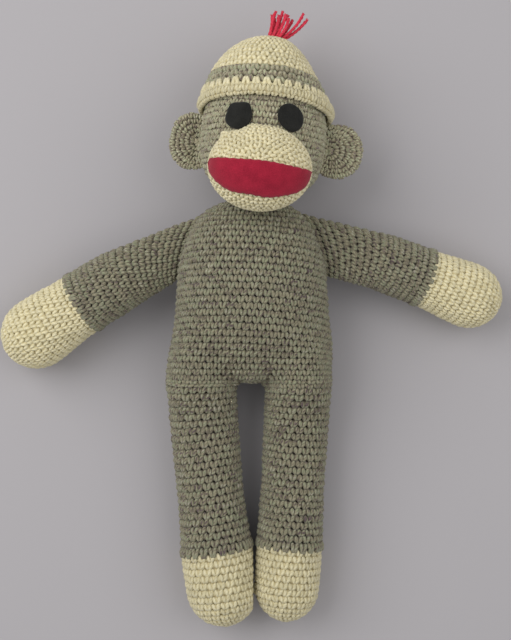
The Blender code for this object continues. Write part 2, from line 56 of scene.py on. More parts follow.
# Sizes repeated from the part's source
RESTING_FLAT = 0.0005
BODY_LENGTH, BODY_BOTTOM_Y = 0.137, -0.048
BODY_HALF_WIDTH, BODY_HALF_DEPTH = 0.061, 0.044
BODY_SHARES = np.array((
    (0.000, 0.30, 0.25, 0.62), (0.012, 0.52, 0.48, 0.65), (0.030, 0.68, 0.60, 0.68),
    (0.060, 0.86, 0.70, 0.72), (0.115, 0.975, 0.79, 0.78),
    (0.205, 1.000, 0.88, 0.88), (0.330, 0.965, 0.965, 0.965), (0.510, 0.935, 1.000, 1.000),
    (0.665, 0.905, 0.98, 0.98), (0.765, 0.840, 0.935, 0.96), (0.840, 0.770, 0.865, 0.955),
    (0.897, 0.695, 0.765, 0.95), (0.942, 0.605, 0.655, 0.96), (0.978, 0.460, 0.505, 0.975),
    (1.000, 0.300, 0.350, 0.98), (1.012, 0.120, 0.140, 0.98),
))
NECK = np.array((0.0045, 0.091, 0.042))
NECK_WAD_RADIUS = 0.0155
HEAD_ROLL = math.radians(-5)
HEAD_RISE, HEAD_LIFT = 0.059, 0.010288
HEAD_HALF_WIDTH, HEAD_HALF_DEPTH = 0.046, 0.0465
HEAD_CHIN_HEIGHT, HEAD_CROWN_HEIGHT = 0.059, 0.0595
CHIN_EXPONENT, CROWN_EXPONENT = 2.3, 2.1
MUZZLE_HALF = np.array((0.03775, 0.031, 0.028))
MUZZLE_CENTRE = np.array((-0.0003, 0.0185, HEAD_LIFT + 0.042))
MOUTH_HALF, MOUTH_DROP = 0.0378, 0.0222
EYE_RADIUS, EYE_SPACING = 0.0096, 0.0375
EYE_DROPS = {"left": 0.0025, "right": 0.0041}
EAR_HALF_HEIGHTS = {"left": 0.0215, "right": 0.0225}
EAR_HALF_THICKNESS, EAR_SAG = 0.0035, 0.0008
EAR_HALF_WIDTHS = {"left": 0.0193, "right": 0.0163}
EAR_DROPS = {"left": 0.0172, "right": 0.0188}
EAR_CUP_DEPTH, EAR_ROOT_INSET = 0.004, 0.007
HAT_OFFSET = 0.0039
# How far the head and hat fall in on the doll's left, by the rise above the eyes
CROWN_DENT = np.array(((0.0, 0.0), (0.012, 0.03), (0.022, 0.07), (0.031, 0.13), (0.0405, 0.175), (0.050, 0.20),
                       (0.064, 0.20)))
# How much fuller the cheeks are, by the drop below the eyes, and the rise above them where that ends
CHEEKS = np.array(((0.0, 0.018), (0.0142, 0.05), (0.0278, 0.10), (0.0361, 0.155), (0.0429, 0.20), (0.052, 0.27),
                   (0.059, 0.30)))
CHEEK_FADE = 0.005
BAND_TILT, BRIM_TILT = math.radians(-5), math.radians(-9)
BAND_BOTTOM_RISE, BAND_TOP_RISE = 0.0174, 0.0288
BRIM_RISE, BRIM_HEIGHT, BRIM_THICKNESS, BRIM_GAP = 0.0085, 0.012, 0.0052, 0.0004
TASSEL_X, TASSEL_STRETCH = 0.0010, 1.17
ARM_SHARES = np.array((
    (0.0, 0.7946), (0.10, 0.80), (0.24, 0.885), (0.40, 0.905), (0.56, 0.92), (0.68, 0.985), (0.79, 1.02),
))
LEG_SHARES = np.array((
    (0.0, 1.0), (0.12, 0.985), (0.28, 0.975), (0.44, 0.955), (0.58, 0.985), (0.72, 1.00), (0.855, 0.985),
))
ARM_COLOUR_CHANGE = 0.493

# Which way is up in the photograph, and which way is out of the floor
UP = np.array((0.0, 1.0, 0.0))
OUT = np.array((0.0, 0.0, 1.0))
MIDDLE_X = 0.0005
JOIN_Y = -0.0450

# A stitch, as places along the row, up the rows and out from the form.
# The first two are in stitch widths and row heights, and the third is in yarn radii.
STITCH = np.array((
    (0.06, 0.00, -1.05), (0.16, 0.20, 0.05), (0.23, 0.46, 0.40), (0.29, 0.72, 0.15), (0.35, 0.96, -1.05),
))
TOOTH = np.array((
    (0.04, -0.55, -0.5), (0.11, -0.28, 0.95), (0.19, 0.22, 0.90), (0.27, 0.70, 0.35), (0.33, 0.98, -0.9),
))
TAPER = np.array((0.72, 1.0, 1.08, 1.0, 0.72))
# The core under a row of stitches, as places up the row, heights in yarn radii and how light it is, where 0 is full
# painted shade in the groove between rows
CORE_ROW = np.array(((0.0, -1.8, 0.0), (0.24, -0.1, 0.8), (0.5, 0.55, 1.0), (0.78, -0.1, 0.8)))
# Cream rows are flatter, each row drifts sideways on the one below it, and each strand leans
CREAM_DEPTH, LEAN, STRAND_LEAN = 0.5, 0.34, 0.05
# A row keeps the count of stitches of the row below until that is off by a share
KEEP, FEWEST = 0.12, 5
# How unevenly stitches sit, in stitch widths, row heights and yarn radii, and how uneven their yarn is
NUDGE, UNEVEN = np.array((0.035, 0.035, 0.10)), 0.05
YARN_SHARE, INSET, FLOOR_GAP = 0.235, 0.0011, 0.0021
TWEED, CREAM = 0, 1

# How finely forms are traced and sampled
SIDES, LOOP_POINTS, RIM_POINTS, LINE_POINTS = 5, 96, 720, 300
TRACE, RAY_POINTS, HALVINGS = 360, 91, 12
REACH, LEG_REACH, ARM_REACH = 0.09, 0.06, 0.04
POLE = math.pi / 2 * 0.97


def unit(v):
    """Scales vectors to length 1."""
    return v / np.maximum(np.linalg.norm(v, axis=-1, keepdims=True), 1e-12)


def smooth(x, table, column):
    """Reads a smooth curve through a table's rows at x."""
    xs, ys = table[:, 0], table[:, column]
    slopes = np.gradient(ys, xs)
    x = np.clip(x, xs[0], xs[-1])
    k = np.clip(np.searchsorted(xs, x) - 1, 0, len(xs) - 2)
    gap = xs[k + 1] - xs[k]
    t = (x - xs[k]) / gap
    rise = (2 * t**3 - 3 * t**2 + 1) * ys[k] + (3 * t**2 - 2 * t**3) * ys[k + 1]
    return rise + gap * ((t**3 - 2 * t**2 + t) * slopes[k] + (t**3 - t**2) * slopes[k + 1])


def distances(points):
    """Gives how far along a line each of its points lies."""
    return np.concatenate(([0], np.cumsum(np.linalg.norm(np.diff(points, axis=0), axis=1))))


def even_loop(points, count=LOOP_POINTS):
    """Spaces the points of a closed loop evenly."""
    closed = np.vstack((points, points[:1]))
    run = distances(closed)
    places = np.arange(count) / count * run[-1]
    return np.stack([np.interp(places, run, closed[:, i]) for i in range(3)], axis=1)


def full_turn(count=LOOP_POINTS):
    """Gives the turns of points that are evenly spaced round a ring."""
    return np.linspace(0, 2 * math.pi, count, endpoint=False)


def span(up, start=-OUT):
    """Gives two ways across up, the first of them as near to start as can be."""
    first = unit(start - up * (start @ up))
    return first, np.cross(up, first)


def circle(turns, first, second):
    """Gives points round a circle of radius 1 between two ways."""
    return np.cos(turns)[:, None] * first + np.sin(turns)[:, None] * second


def slice_loop(field, centre, up, start=-OUT, reach=REACH):
    """Traces the loop where a form meets the plane across up, looking out from a centre."""
    rays = circle(full_turn(TRACE), *span(up, start))
    far = np.linspace(0, reach, RAY_POINTS)
    points = centre + rays[:, None] * far[None, :, None]
    inside = field(points.reshape(-1, 3)).reshape(TRACE, -1) < 0
    leaving = np.maximum(np.argmin(inside, axis=1), 1)
    low, high = far[leaving - 1], far[leaving]
    for _ in range(HALVINGS):
        middle = (low + high) / 2
        within = field(centre + rays * middle[:, None]) < 0
        low, high = np.where(within, middle, low), np.where(within, high, middle)
    return even_loop(centre + rays * low[:, None])


def along(points, step, values):
    """Reads values at evenly spaced places on a line of points."""
    run = distances(points)
    count = max(2, int(round(run[-1] / step)))
    index = np.arange(len(points))
    return np.interp(np.interp(np.linspace(0, run[-1], count + 1), run, index), index, values)


def even_rows(make, places, step):
    """Spaces the rows of a cover evenly, as measured on the front of its form."""
    loops = np.array([make(place) for place in places])
    front = slice(LOOP_POINTS // 4, LOOP_POINTS * 3 // 4)
    round_it = unit(np.roll(loops, -1, axis=1) - np.roll(loops, 1, axis=1))[1:, front]
    moves = np.diff(loops, axis=0)[:, front]
    moves = moves - round_it * np.sum(moves * round_it, axis=2, keepdims=True)
    gaps = np.linalg.norm(moves, axis=2).mean(axis=1)
    run = np.concatenate(([0], np.cumsum(gaps)))
    count = int(round(run[-1] / step))
    return np.interp(np.linspace(0, run[-1], count + 1), run, places)


def above_floor(loops):
    """Keeps loops above the floor by the yarn that lies under them."""
    loops = np.array(loops)
    loops[..., 2] = np.maximum(loops[..., 2], FLOOR_GAP)
    return loops


def facing(loops):
    """Gives the way out of a form at each point of its loops."""
    round_it = np.roll(loops, -1, axis=1) - np.roll(loops, 1, axis=1)
    return unit(np.cross(round_it, np.gradient(loops, axis=0)))


def locate(grid, row, turn):
    """Reads a grid of loops between its points."""
    top = len(grid) - 1
    row = np.clip(row, 0, top)
    k = np.minimum(row.astype(int), top - 1)
    f = (row - k)[..., None]
    u = (turn % 1) * grid.shape[1]
    i = np.floor(u).astype(int) % grid.shape[1]
    g = (u - np.floor(u))[..., None]
    j = (i + 1) % grid.shape[1]
    lower = grid[k, i] * (1 - g) + grid[k, j] * g
    upper = grid[k + 1, i] * (1 - g) + grid[k + 1, j] * g
    return lower * (1 - f) + upper * f


def knit(loops, width, colour=lambda k: TWEED, radius_share=YARN_SHARE, teeth=(), wobble=1.0, depth=1.0):
    """Fills a form with stitches. Colour says each row's yarn. Gives the strands and the core under them."""
    normals = facing(loops)
    sizes = np.linalg.norm(np.roll(loops, -1, axis=1) - loops, axis=2).sum(axis=1)
    radius = width * radius_share
    row_yarns = np.array([colour(k) for k in range(len(loops) - 1)])
    rows, turns, spans, drift, count = [], [], [], 0.0, 0
    for k in range(len(row_yarns)):
        fit = (sizes[k] + sizes[k + 1]) / 2 / width
        if not count or abs(count / fit - 1) > KEEP:
            count = max(FEWEST, int(round(fit)))
        rows.append(np.full(count, k))
        turns.append((np.arange(count) + 0.5) / count + drift)
        spans.append(np.full(count, 1 / count))
        drift += LEAN / count
    rows, turns, spans = (np.concatenate(x) for x in (rows, turns, spans))
    yarns = row_yarns[rows]
    tone = RANDOM.random(len(rows))
    nudge = RANDOM.normal(0, 1, (len(rows), 3)) * NUDGE * wobble
    tooth = np.isin(rows, teeth)
    form = np.where(tooth[:, None, None], TOOTH, STITCH)
    flat = (depth * np.where((yarns == CREAM) & ~tooth, CREAM_DEPTH, 1.0))[:, None]

    def placed(row, turn, height):
        """Gives points at a height above the form, and the way out there."""
        way = unit(locate(normals, row, turn))
        return locate(loops, row, turn) + way * height[..., None], way

    strands = []
    for side in (-1, 1):
        across = form[..., 0] * side + nudge[:, :1]
        up = form[..., 1] + nudge[:, 1:2]
        strands.append(placed(rows[:, None] + up, turns[:, None] + (across + STRAND_LEAN * up) * spans[:, None],
                              (form[..., 2] + nudge[:, 2:]) * flat * radius))
    paths, ways = (np.concatenate(x) for x in zip(*strands))
    steps = np.arange(len(row_yarns) * len(CORE_ROW) + 1)
    kind = steps % len(CORE_ROW)
    core_yarn = np.repeat(row_yarns, len(CORE_ROW))
    lift = CORE_ROW[kind, 1] * depth * np.where(np.append(core_yarn, core_yarn[-1]) == CREAM, CREAM_DEPTH, 1.0)
    core = placed((steps // len(CORE_ROW) + CORE_ROW[kind, 0])[:, None], np.arange(LOOP_POINTS) / LOOP_POINTS,
                  (lift * radius)[:, None])[0]
    return SimpleNamespace(
        paths=paths, ways=ways, tone=np.tile(tone, 2), yarn=np.tile(yarns, 2),
        radius=radius * (1 + UNEVEN * np.tile(nudge[:, 0] / NUDGE[0], 2)),
        core=core, core_yarn=core_yarn, core_painted_light=CORE_ROW[kind, 2],
    )


def ring_quads(index):
    """Gives the quads between neighbouring rings of numbered points."""
    after = np.roll(index, -1, axis=-1)
    return np.stack([index[..., :-1, :], after[..., :-1, :], after[..., 1:, :], index[..., 1:, :]],
                    axis=-1).reshape(-1, 4)


def tubes(paths, ways, radius, taper, sides=SIDES):
    """Makes closed tubes along paths. Gives points, quads, end caps, and the quads' places on the yarn."""
    count, steps = paths.shape[:2]
    run = unit(np.gradient(paths, axis=1))
    across = unit(np.cross(run, ways))
    over = np.cross(across, run)
    turn = 2 * math.pi * np.arange(sides) / sides - math.pi / 2
    ring = np.cos(turn)[:, None] * across[:, :, None] + np.sin(turn)[:, None] * over[:, :, None]
    size = (radius[:, None] * taper)[..., None, None]
    points = (paths[:, :, None] + ring * size).reshape(-1, 3)
    index = np.arange(count * steps * sides).reshape(count, steps, sides)
    caps = np.concatenate([index[:, 0, ::-1], index[:, -1]])
    length = np.concatenate([np.zeros((count, 1)),
                             np.cumsum(np.linalg.norm(np.diff(paths, axis=1), axis=2), axis=1)], axis=1)
    low, high = length[:, :-1, None], length[:, 1:, None]
    v, w = np.arange(sides) / sides, np.arange(1, sides + 1) / sides
    places = np.stack(np.broadcast_arrays(v, low, w, low, w, high, v, high), axis=-1).reshape(-1, 2)
    return points, ring_quads(index), caps, places


def link(name, data):
    """Puts an object into the scene."""
    thing = bpy.data.objects.new(name, data)
    bpy.context.scene.collection.objects.link(thing)
    return thing


def fill(items, key, values, kind=np.float32):
    """Fills one value of a mesh's items from an array."""
    items.foreach_set(key, np.asarray(values).astype(kind).ravel())


def mesh_object(name, points, faces, shades, places, tone, materials):
    """Makes a mesh object from lists of faces, with what its material reads."""
    mesh = bpy.data.meshes.new(name)
    sizes = np.concatenate([np.full(len(f), f.shape[1]) for f in faces])
    corners = np.concatenate([f.ravel() for f in faces])
    mesh.vertices.add(len(points))
    mesh.loops.add(len(corners))
    mesh.polygons.add(len(sizes))
    fill(mesh.vertices, "co", points)
    fill(mesh.loops, "vertex_index", corners, np.int32)
    fill(mesh.polygons, "loop_start", np.cumsum(sizes) - sizes, np.int32)
    fill(mesh.polygons, "material_index", np.concatenate(shades), np.int32)
    fill(mesh.polygons, "use_smooth", np.ones(len(sizes)), bool)
    for material in materials:
        mesh.materials.append(material)
    strand = np.zeros((len(corners), 2))
    strand[: len(places)] = places
    fill(mesh.uv_layers.new(name="strand").data, "uv", strand)
    fill(mesh.attributes.new("rest", "FLOAT_VECTOR", "POINT").data, "vector", points)
    # The tone is a random tone for each strand, and on the cores the painted shade between rows
    fill(mesh.attributes.new("tone", "FLOAT", "POINT").data, "value", tone)
    mesh.update(calc_edges=True)
    mesh.validate()
    return link(name, mesh)


def make_knit(name, covers, wanted=lambda p: np.ones(len(p), bool), painted_lighter=False):
    """Joins crocheted covers into one piece, keeping the strands and the core whose middles are wanted."""
    strands, cores, base = [], [], 0
    for cover in covers:
        kept = wanted(cover.paths[:, len(STITCH) // 2])
        points, quads, caps, places = tubes(cover.paths[kept], cover.ways[kept], cover.radius[kept], TAPER)
        yarn = cover.yarn[kept]
        strands.append((points, quads + base, caps + base, places, np.repeat(cover.tone[kept], len(TAPER) * SIDES),
                        np.repeat(yarn, (len(TAPER) - 1) * SIDES), np.tile(yarn, 2)))
        base += len(points)
    for cover in covers:
        rows, count = cover.core.shape[:2]
        flat = cover.core.reshape(-1, 3)
        cells = ring_quads(np.arange(rows * count).reshape(rows, count))
        kept = wanted(flat[cells].mean(axis=1))
        used, back = np.unique(cells[kept], return_inverse=True)
        cores.append((flat[used], back.reshape(-1, 4) + base, np.repeat(cover.core_painted_light, count)[used],
                      np.repeat(cover.core_yarn, count)[kept] + 2))
        base += len(used)
    points, quads, caps, places, tones, quad_yarns, cap_yarns = zip(*strands)
    core_points, core_quads, core_painted_lights, core_yarns = zip(*cores)
    # The lighter copies of the yarn colours are painted light
    return mesh_object(name, np.vstack(points + core_points), quads + caps + core_quads,
                       quad_yarns + cap_yarns + core_yarns, np.vstack(places), np.concatenate(tones + core_painted_lights),
                       LOOKS[painted_lighter])


def dress(nodes):
    """Hides the nodes of the imported model that a piece replaces."""
    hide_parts(*nodes)


class Nodes:
    """The nodes of a material or world. A value fed to an input is a socket, a number or a colour."""

    def __init__(self, owner):
        owner.use_nodes = True
        self.owner, self.tree = owner, owner.node_tree

    def feed(self, node, values):
        """Feeds a node's inputs, which are given by name or number."""
        for key, value in values.items():
            if isinstance(value, bpy.types.NodeSocket):
                self.tree.links.new(value, node.inputs[key])
            else:
                node.inputs[key].default_value = (*value, 1) if isinstance(value, tuple) else value

    def add(self, kind, values, output=0, **settings):
        """Adds a node, sets and feeds it, and gives one of its outputs."""
        node = self.tree.nodes.new("ShaderNode" + kind)
        for key, value in settings.items():
            setattr(node, key, value)
        self.feed(node, values)
        return node.outputs[output]

    def read(self, name, output="Fac"):
        """Reads a value that the mesh holds."""
        return self.add("Attribute", {}, output, attribute_name=name)

    def maths(self, operation, first, second=0.0):
        """Works out a value from one or two others."""
        return self.add("Math", {0: first, 1: second}, operation=operation)

    def scaled(self, value, factor, shift=0.0):
        """Multiplies a value and adds to it."""
        value = self.maths("MULTIPLY", value, factor)
        return self.maths("ADD", value, shift) if shift else value

    def ramp(self, value, stops):
        """Adds a colour ramp from places and colours."""
        colour = self.add("ValToRGB", {0: value})
        elements = colour.node.color_ramp.elements
        while len(elements) < len(stops):
            elements.new(0.5)
        for element, (place, stop) in zip(elements, stops):
            element.position, element.color = place, (*stop, 1)
        return colour

    def noise(self, vector, scale, detail=2.0, roughness=0.5):
        """Adds a noise texture and gives its value."""
        return self.add("TexNoise", {"Vector": vector, "Scale": scale, "Detail": detail, "Roughness": roughness},
                        "Fac")

    def mix(self, factor, first, second, blend="MIX"):
        """Adds a mix of two colours."""
        return self.add("Mix", {0: factor, 6: first, 7: second}, 2, data_type="RGBA", blend_type=blend)

    def finish(self, colour, height, relief, roughness, specular, sheen):
        """Feeds the shader. Relief is a depth and a strength, and sheen is a weight and a roughness."""
        bump = self.add("Bump", {"Distance": relief[0], "Strength": relief[1], "Height": height})
        self.feed(self.tree.nodes["Principled BSDF"], {
            "Base Color": colour, "Normal": bump, "Roughness": roughness, "Specular IOR Level": specular,
            "Sheen Weight": sheen[0], "Sheen Roughness": sheen[1],
        })
        return self.owner


PLIES, PLY_PITCH = 4.0, 0.010
# Flecks, as their pace round the yarn, along it and from strand to strand
FLECKS = (1.1, 330.0, 53.0)
TONE_SPREAD, TONE_LEAST = 0.16, 0.92
NAP_SCALE, CORE_SCALE, FELT_SCALE, CLOUD_SHARE = 2600.0, 900.0, 1500.0, 12


def yarn_material(name, stops, contrast, pitch=PLY_PITCH):
    """Spun yarn: plies that twist along each strand, with painted shade in the grooves between them, flecks drawn
    out along them, and a soft nap.
    """
    n = Nodes(bpy.data.materials.new(name))
    place = n.add("SeparateXYZ", {0: n.add("UVMap", {}, uv_map="strand")}).node.outputs
    tone = n.read("tone")
    turn = n.maths("ADD", n.scaled(place[1], 1 / pitch * PLIES), n.scaled(place[0], PLIES))
    wave = n.maths("SINE", n.scaled(turn, 2 * math.pi))
    ply = n.maths("POWER", n.scaled(n.maths("ADD", wave, 1.0), 0.5), 0.5)
    paces = [n.scaled(value, pace) for value, pace in zip((turn, place[1], tone), FLECKS)]
    fleck = n.noise(n.add("CombineXYZ", dict(enumerate(paces))), 1.0, 3.0, 0.6)
    # Painted shade in the grooves between plies, as deep as the contrast, times a random tone for each strand
    ply_shade_and_tone = n.maths("MULTIPLY", n.scaled(ply, contrast, 1 - contrast), n.scaled(tone, TONE_SPREAD, TONE_LEAST))
    grey = n.add("CombineColor", {0: ply_shade_and_tone, 1: ply_shade_and_tone, 2: ply_shade_and_tone})
    nap = n.noise(n.read("rest", "Vector"), NAP_SCALE, 2.0, 0.6)
    return n.finish(n.mix(1.0, n.ramp(fleck, stops), grey, "MULTIPLY"), n.maths("ADD", ply, n.scaled(nap, 0.5)),
                    relief=(0.0002, 0.8), roughness=0.92, specular=0.15, sheen=(0.18, 0.6))


def soft_material(name, dark, light, scale=CORE_SCALE, deep=None):
    """Matted fibres, for the felt and for the yarn behind the stitches, which has painted shade between the rows."""
    n = Nodes(bpy.data.materials.new(name))
    rest = n.read("rest", "Vector")
    fibre = n.noise(rest, scale, 5.0, 0.7)
    both = n.maths("ADD", n.scaled(fibre, 0.7), n.scaled(n.noise(rest, scale / CLOUD_SHARE), 0.3))
    colour = n.ramp(both, ((0.36, dark), (0.64, light)))
    # The yarn behind the stitches darkens to the deep colour by its tone: painted shade in the grooves between rows
    if deep:
        colour = n.mix(n.read("tone"), deep, colour)
    return n.finish(colour, fibre, relief=(0.0004, 0.7), roughness=0.95, specular=0.1, sheen=(0.2, 0.5))


def paler(stops, share):
    """Makes the colours of a ramp lighter by a share."""
    return [(place, tuple(share * c for c in colour)) for place, colour in stops]


TWEED_STOPS = (
    (0.36, (0.134, 0.098, 0.095)), (0.44, (0.252, 0.228, 0.139)), (0.51, (0.318, 0.282, 0.200)),
    (0.58, (0.242, 0.272, 0.155)), (0.67, (0.395, 0.344, 0.282)),
)
CREAM_STOPS = ((0.3, (0.625, 0.552, 0.325)), (0.5, (0.695, 0.625, 0.400)), (0.7, (0.735, 0.668, 0.455)))
RED_STOPS = ((0.3, (0.62, 0.022, 0.055)), (0.5, (0.74, 0.035, 0.075)), (0.7, (0.82, 0.07, 0.12)))
# The cream core darkens to a painted shade of cream in the grooves between rows
CREAM_CORE = soft_material("cream_core", (0.60, 0.53, 0.32), (0.71, 0.64, 0.41), deep=(0.54, 0.45, 0.255))
# The tweed and cream yarns and the cores under them, whose deep colour is painted shade between the rows, and
# lighter copies of them that are painted light, for the pieces that are lit more
LOOKS = {
    False: (
        yarn_material("tweed_yarn_spun", TWEED_STOPS, contrast=0.25),
        yarn_material("cream_yarn_spun", CREAM_STOPS, contrast=0.12),
        soft_material("tweed_core", (0.165, 0.140, 0.095), (0.245, 0.215, 0.150), deep=(0.030, 0.020, 0.024)),
        CREAM_CORE,
    ),
    True: (
        yarn_material("tweed_yarn_painted_lighter", paler(TWEED_STOPS, 1.5), contrast=0.2),
        yarn_material("cream_yarn_painted_lighter", paler(CREAM_STOPS, 1.12), contrast=0.10),
        soft_material("tweed_core_painted_lighter", (0.27, 0.23, 0.16), (0.38, 0.33, 0.24),
                      deep=(0.145, 0.113, 0.095)),
        CREAM_CORE,
    ),
}
RED_YARN = yarn_material("red_yarn_spun", RED_STOPS, contrast=0.18, pitch=0.007)
RED_FELT = soft_material("red_felt_matted", (0.235, 0.008, 0.024), (0.42, 0.018, 0.045), FELT_SCALE)
BLACK_FELT = soft_material("black_felt_matted", (0.009, 0.009, 0.008), (0.024, 0.024, 0.022), FELT_SCALE)


def body_form(y):
    """Gives the body's half width, half depth and the height of its middle, drawn in by the yarn."""
    height = (y - BODY_BOTTOM_Y) / BODY_LENGTH
    wide = BODY_HALF_WIDTH * smooth(height, BODY_SHARES, 1)
    deep = BODY_HALF_DEPTH * smooth(height, BODY_SHARES, 2)
    middle = BODY_HALF_DEPTH * smooth(height, BODY_SHARES, 3) - RESTING_FLAT
    return wide, deep, middle


def body_field(p):
    """Distance out of the body, roughly."""
    wide, deep, middle = body_form(p[:, 1])
    x, z = p[:, 0], p[:, 2] - middle
    q = np.sqrt((x / wide) ** 2 + (z / deep) ** 2)
    slope = np.sqrt((x / wide**2) ** 2 + (z / deep**2) ** 2)
    away = q * (q - 1) / np.maximum(slope, 1e-6)
    below = BODY_BOTTOM_Y + BODY_SHARES[0, 0] * BODY_LENGTH - p[:, 1]
    return np.maximum(away, below)


def limb_field(root, direction, shares, length, girth):
    """Gives a limb's distance function: a dome at the root, a swelling tube and a round end."""
    end_share, end_girth = shares[-1]
    end_radius, end_length = girth * end_girth, length * (1 - end_share)

    def field(p):
        t = (p - root) @ direction
        away = np.linalg.norm(p - root - t[:, None] * direction, axis=1)
        tube = away - girth * smooth(t / length, shares, 1)
        dome = np.linalg.norm(p - root, axis=1) - girth * shares[0, 1]
        tip = np.sqrt((away / end_radius) ** 2 + ((t - length * end_share) / end_length) ** 2)
        tip = (tip - 1) * end_radius
        return np.where(t < 0, dome, np.where(t > length * end_share, tip, tube))

    return field


def joined(first, second, round_off):
    """Joins two distances with a soft hollow where they meet."""
    share = np.clip(0.5 + 0.5 * (second - first) / round_off, 0, 1)
    return second + share * (first - second) - round_off * share * (1 - share)


TIP_START, TIP_POINTS, TUBE_POINTS = 0.06, 40, 200


def limb_rows(shares, length, girth, step, root=0.0):
    """Gives the places along a limb of its rows, from the tip to the root."""
    end_share, end_girth = shares[-1]
    turn = np.linspace(TIP_START, math.pi / 2, TIP_POINTS)
    tip = np.stack([length * end_share + length * (1 - end_share) * np.cos(turn),
                    girth * end_girth * np.sin(turn)], axis=1)
    t = np.linspace(length * end_share, root, TUBE_POINTS)[1:]
    tube = np.stack([t, girth * smooth(t / length, shares, 1)], axis=1)
    line = np.vstack((tip, tube))
    return along(line, step, line[:, 0])


def knit_limb(loops, width, cream_rows):
    """Crochets a limb whose first rows are cream and meet the tweed in a row of teeth."""
    return knit(above_floor(loops), width, lambda k: CREAM if k < cream_rows else TWEED, teeth=(cream_rows,))


LEGS = {
    "left": SimpleNamespace(
        sign=1, hip=np.array((0.0360, -0.048, 0.0247)), length=0.184, girth=0.0252, lean=math.radians(3.2),
        width=0.0064, step=0.0052, foot=1.0, bow=0.0, row_tilt=-0.026, change_share=0.69),
    "right": SimpleNamespace(
        sign=-1, hip=np.array((-0.0392, -0.048, 0.0257)), length=0.188, girth=0.0264, lean=math.radians(6.0),
        width=0.0065, step=0.0054, foot=1.055, bow=0.0020, row_tilt=0.045, change_share=0.708),
}
SWELL, SWELL_START, SWELL_RUN = 0.0125, 0.045, 0.080
ROOT_FADE, ROOT_NARROWING, ROOT_CAP = 0.050, 0.45, 0.020
ROOT_BEND, FOOT_YARN = 0.012, 0.0015


def leg_field(leg):
    """Gives the distance out of a leg whose root swells forward and runs up into the body."""
    shares = LEG_SHARES.copy()
    shares[-2:, 1] *= leg.foot
    tip = limb_field(leg.hip, leg.direction, shares, leg.length + FOOT_YARN, leg.girth)
    across = np.cross(leg.direction, OUT)
    bend_way = math.copysign(1, across[0])

    def field(p):
        t = (p - leg.hip) @ leg.direction
        bowed = np.sin(math.pi * np.clip(t / leg.length, 0, 1)) * leg.bow * leg.sign * bend_way
        p = p - bowed[:, None] * across
        share = np.clip((SWELL_START - t) / SWELL_RUN, 0, 1)
        swell = SWELL * share**2 * (3 - 2 * share)
        above = np.clip(-t / ROOT_FADE, 0, 1)
        radius = leg.girth * smooth(np.maximum(t, 0) / leg.length, LEG_SHARES, 1)
        radius = radius * (1 - ROOT_NARROWING * above**2)
        bend = leg.sign * ROOT_BEND * above**2
        side = ((p - leg.hip) @ across + bend * bend_way) / radius
        rise = (p[:, 2] - leg.hip[2] - swell) / (radius + swell)
        beyond = np.maximum(-t - ROOT_FADE, 0) / ROOT_CAP
        tube = (np.sqrt(side**2 + rise**2 + beyond**2) - 1) * radius
        return np.where(t > SWELL_START, tip(p), tube)

    return field


for leg in LEGS.values():
    leg.direction = np.array((-leg.sign * math.sin(leg.lean), -math.cos(leg.lean), 0))
    leg.field = leg_field(leg)

CROTCH_ROUND = 0.007
FOLLOW_FINE, FOLLOW_REACH = 10, 110
ROW_BOW, ROW_SLOPE = math.radians(8), math.radians(3)
ROW_BOW_START, ROW_BOW_RUN = -0.045, 0.030
ROW_BOW_END, ROW_BOW_FADE = 0.060, 0.028
BODY_STITCH, BODY_STEP = 0.0061, 0.0049


def trunk_field(p):
    """The body and both legs as one form."""
    legs = np.minimum(LEGS["left"].field(p), LEGS["right"].field(p))
    return joined(body_field(p), legs, CROTCH_ROUND) + INSET


def follow(loop, guide):
    """Moves a loop's points along it until each is next to its fellow on the loop beside it."""
    dense = even_loop(loop, LOOP_POINTS * FOLLOW_FINE)
    steady = np.arange(LOOP_POINTS) * FOLLOW_FINE
    moves = np.arange(-FOLLOW_REACH, FOLLOW_REACH + 1)
    choices = (steady[:, None] + moves) % len(dense)
    move = moves[np.argmin(np.linalg.norm(guide[:, None] - dense[choices], axis=2), axis=1)]
    place = np.maximum.accumulate(steady + move)
    return dense[place % len(dense)]


def body_loop(rise):
    """Traces a row of the body. Rows bow up over the belly and slope down to the doll's left."""
    share = np.clip((rise - ROW_BOW_START) / ROW_BOW_RUN, 0, 1)
    share *= np.clip((ROW_BOW_END + ROW_BOW_FADE - rise) / ROW_BOW_FADE, 0, 1)
    up = unit(np.array((ROW_SLOPE * share, 1, -ROW_BOW * share)))
    centre = np.array((MIDDLE_X, rise, body_form(np.array([rise]))[2][0]))
    return slice_loop(trunk_field, centre, up, -OUT)


CROTCH_LOOK, CROTCH_TOP = np.array((MIDDLE_X, -0.028, 0.028)), -0.036
CROTCH_HALF, CROTCH_DEPTH = 0.0085, 0.0030


def crotch_loops():
    """Gives the strip that closes the seam between the legs, in loops from the belly to the back."""
    across = np.array((1.0, 0.0, 0.0))
    outline = slice_loop(trunk_field, CROTCH_LOOK, across, OUT)
    under = outline[outline[:, 1] < CROTCH_TOP]
    middle = np.stack([along(under, BODY_STEP, under[:, k]) for k in range(3)], axis=1)
    turns = full_turn()[:, None]
    loops = []
    for place, way in zip(middle, unit(np.gradient(middle, axis=0))):
        inward = -np.cross(way, across)
        side = np.cross(way, inward)
        loops.append(place + CROTCH_DEPTH * (1 + np.cos(turns)) * inward + CROTCH_HALF * np.sin(turns) * side)
    return loops


BODY_PLACES, BODY_TOP_GAP = 45, 0.0005
UPRIGHT_RUN, LEG_PLACES_STEP = 0.05, 0.0035


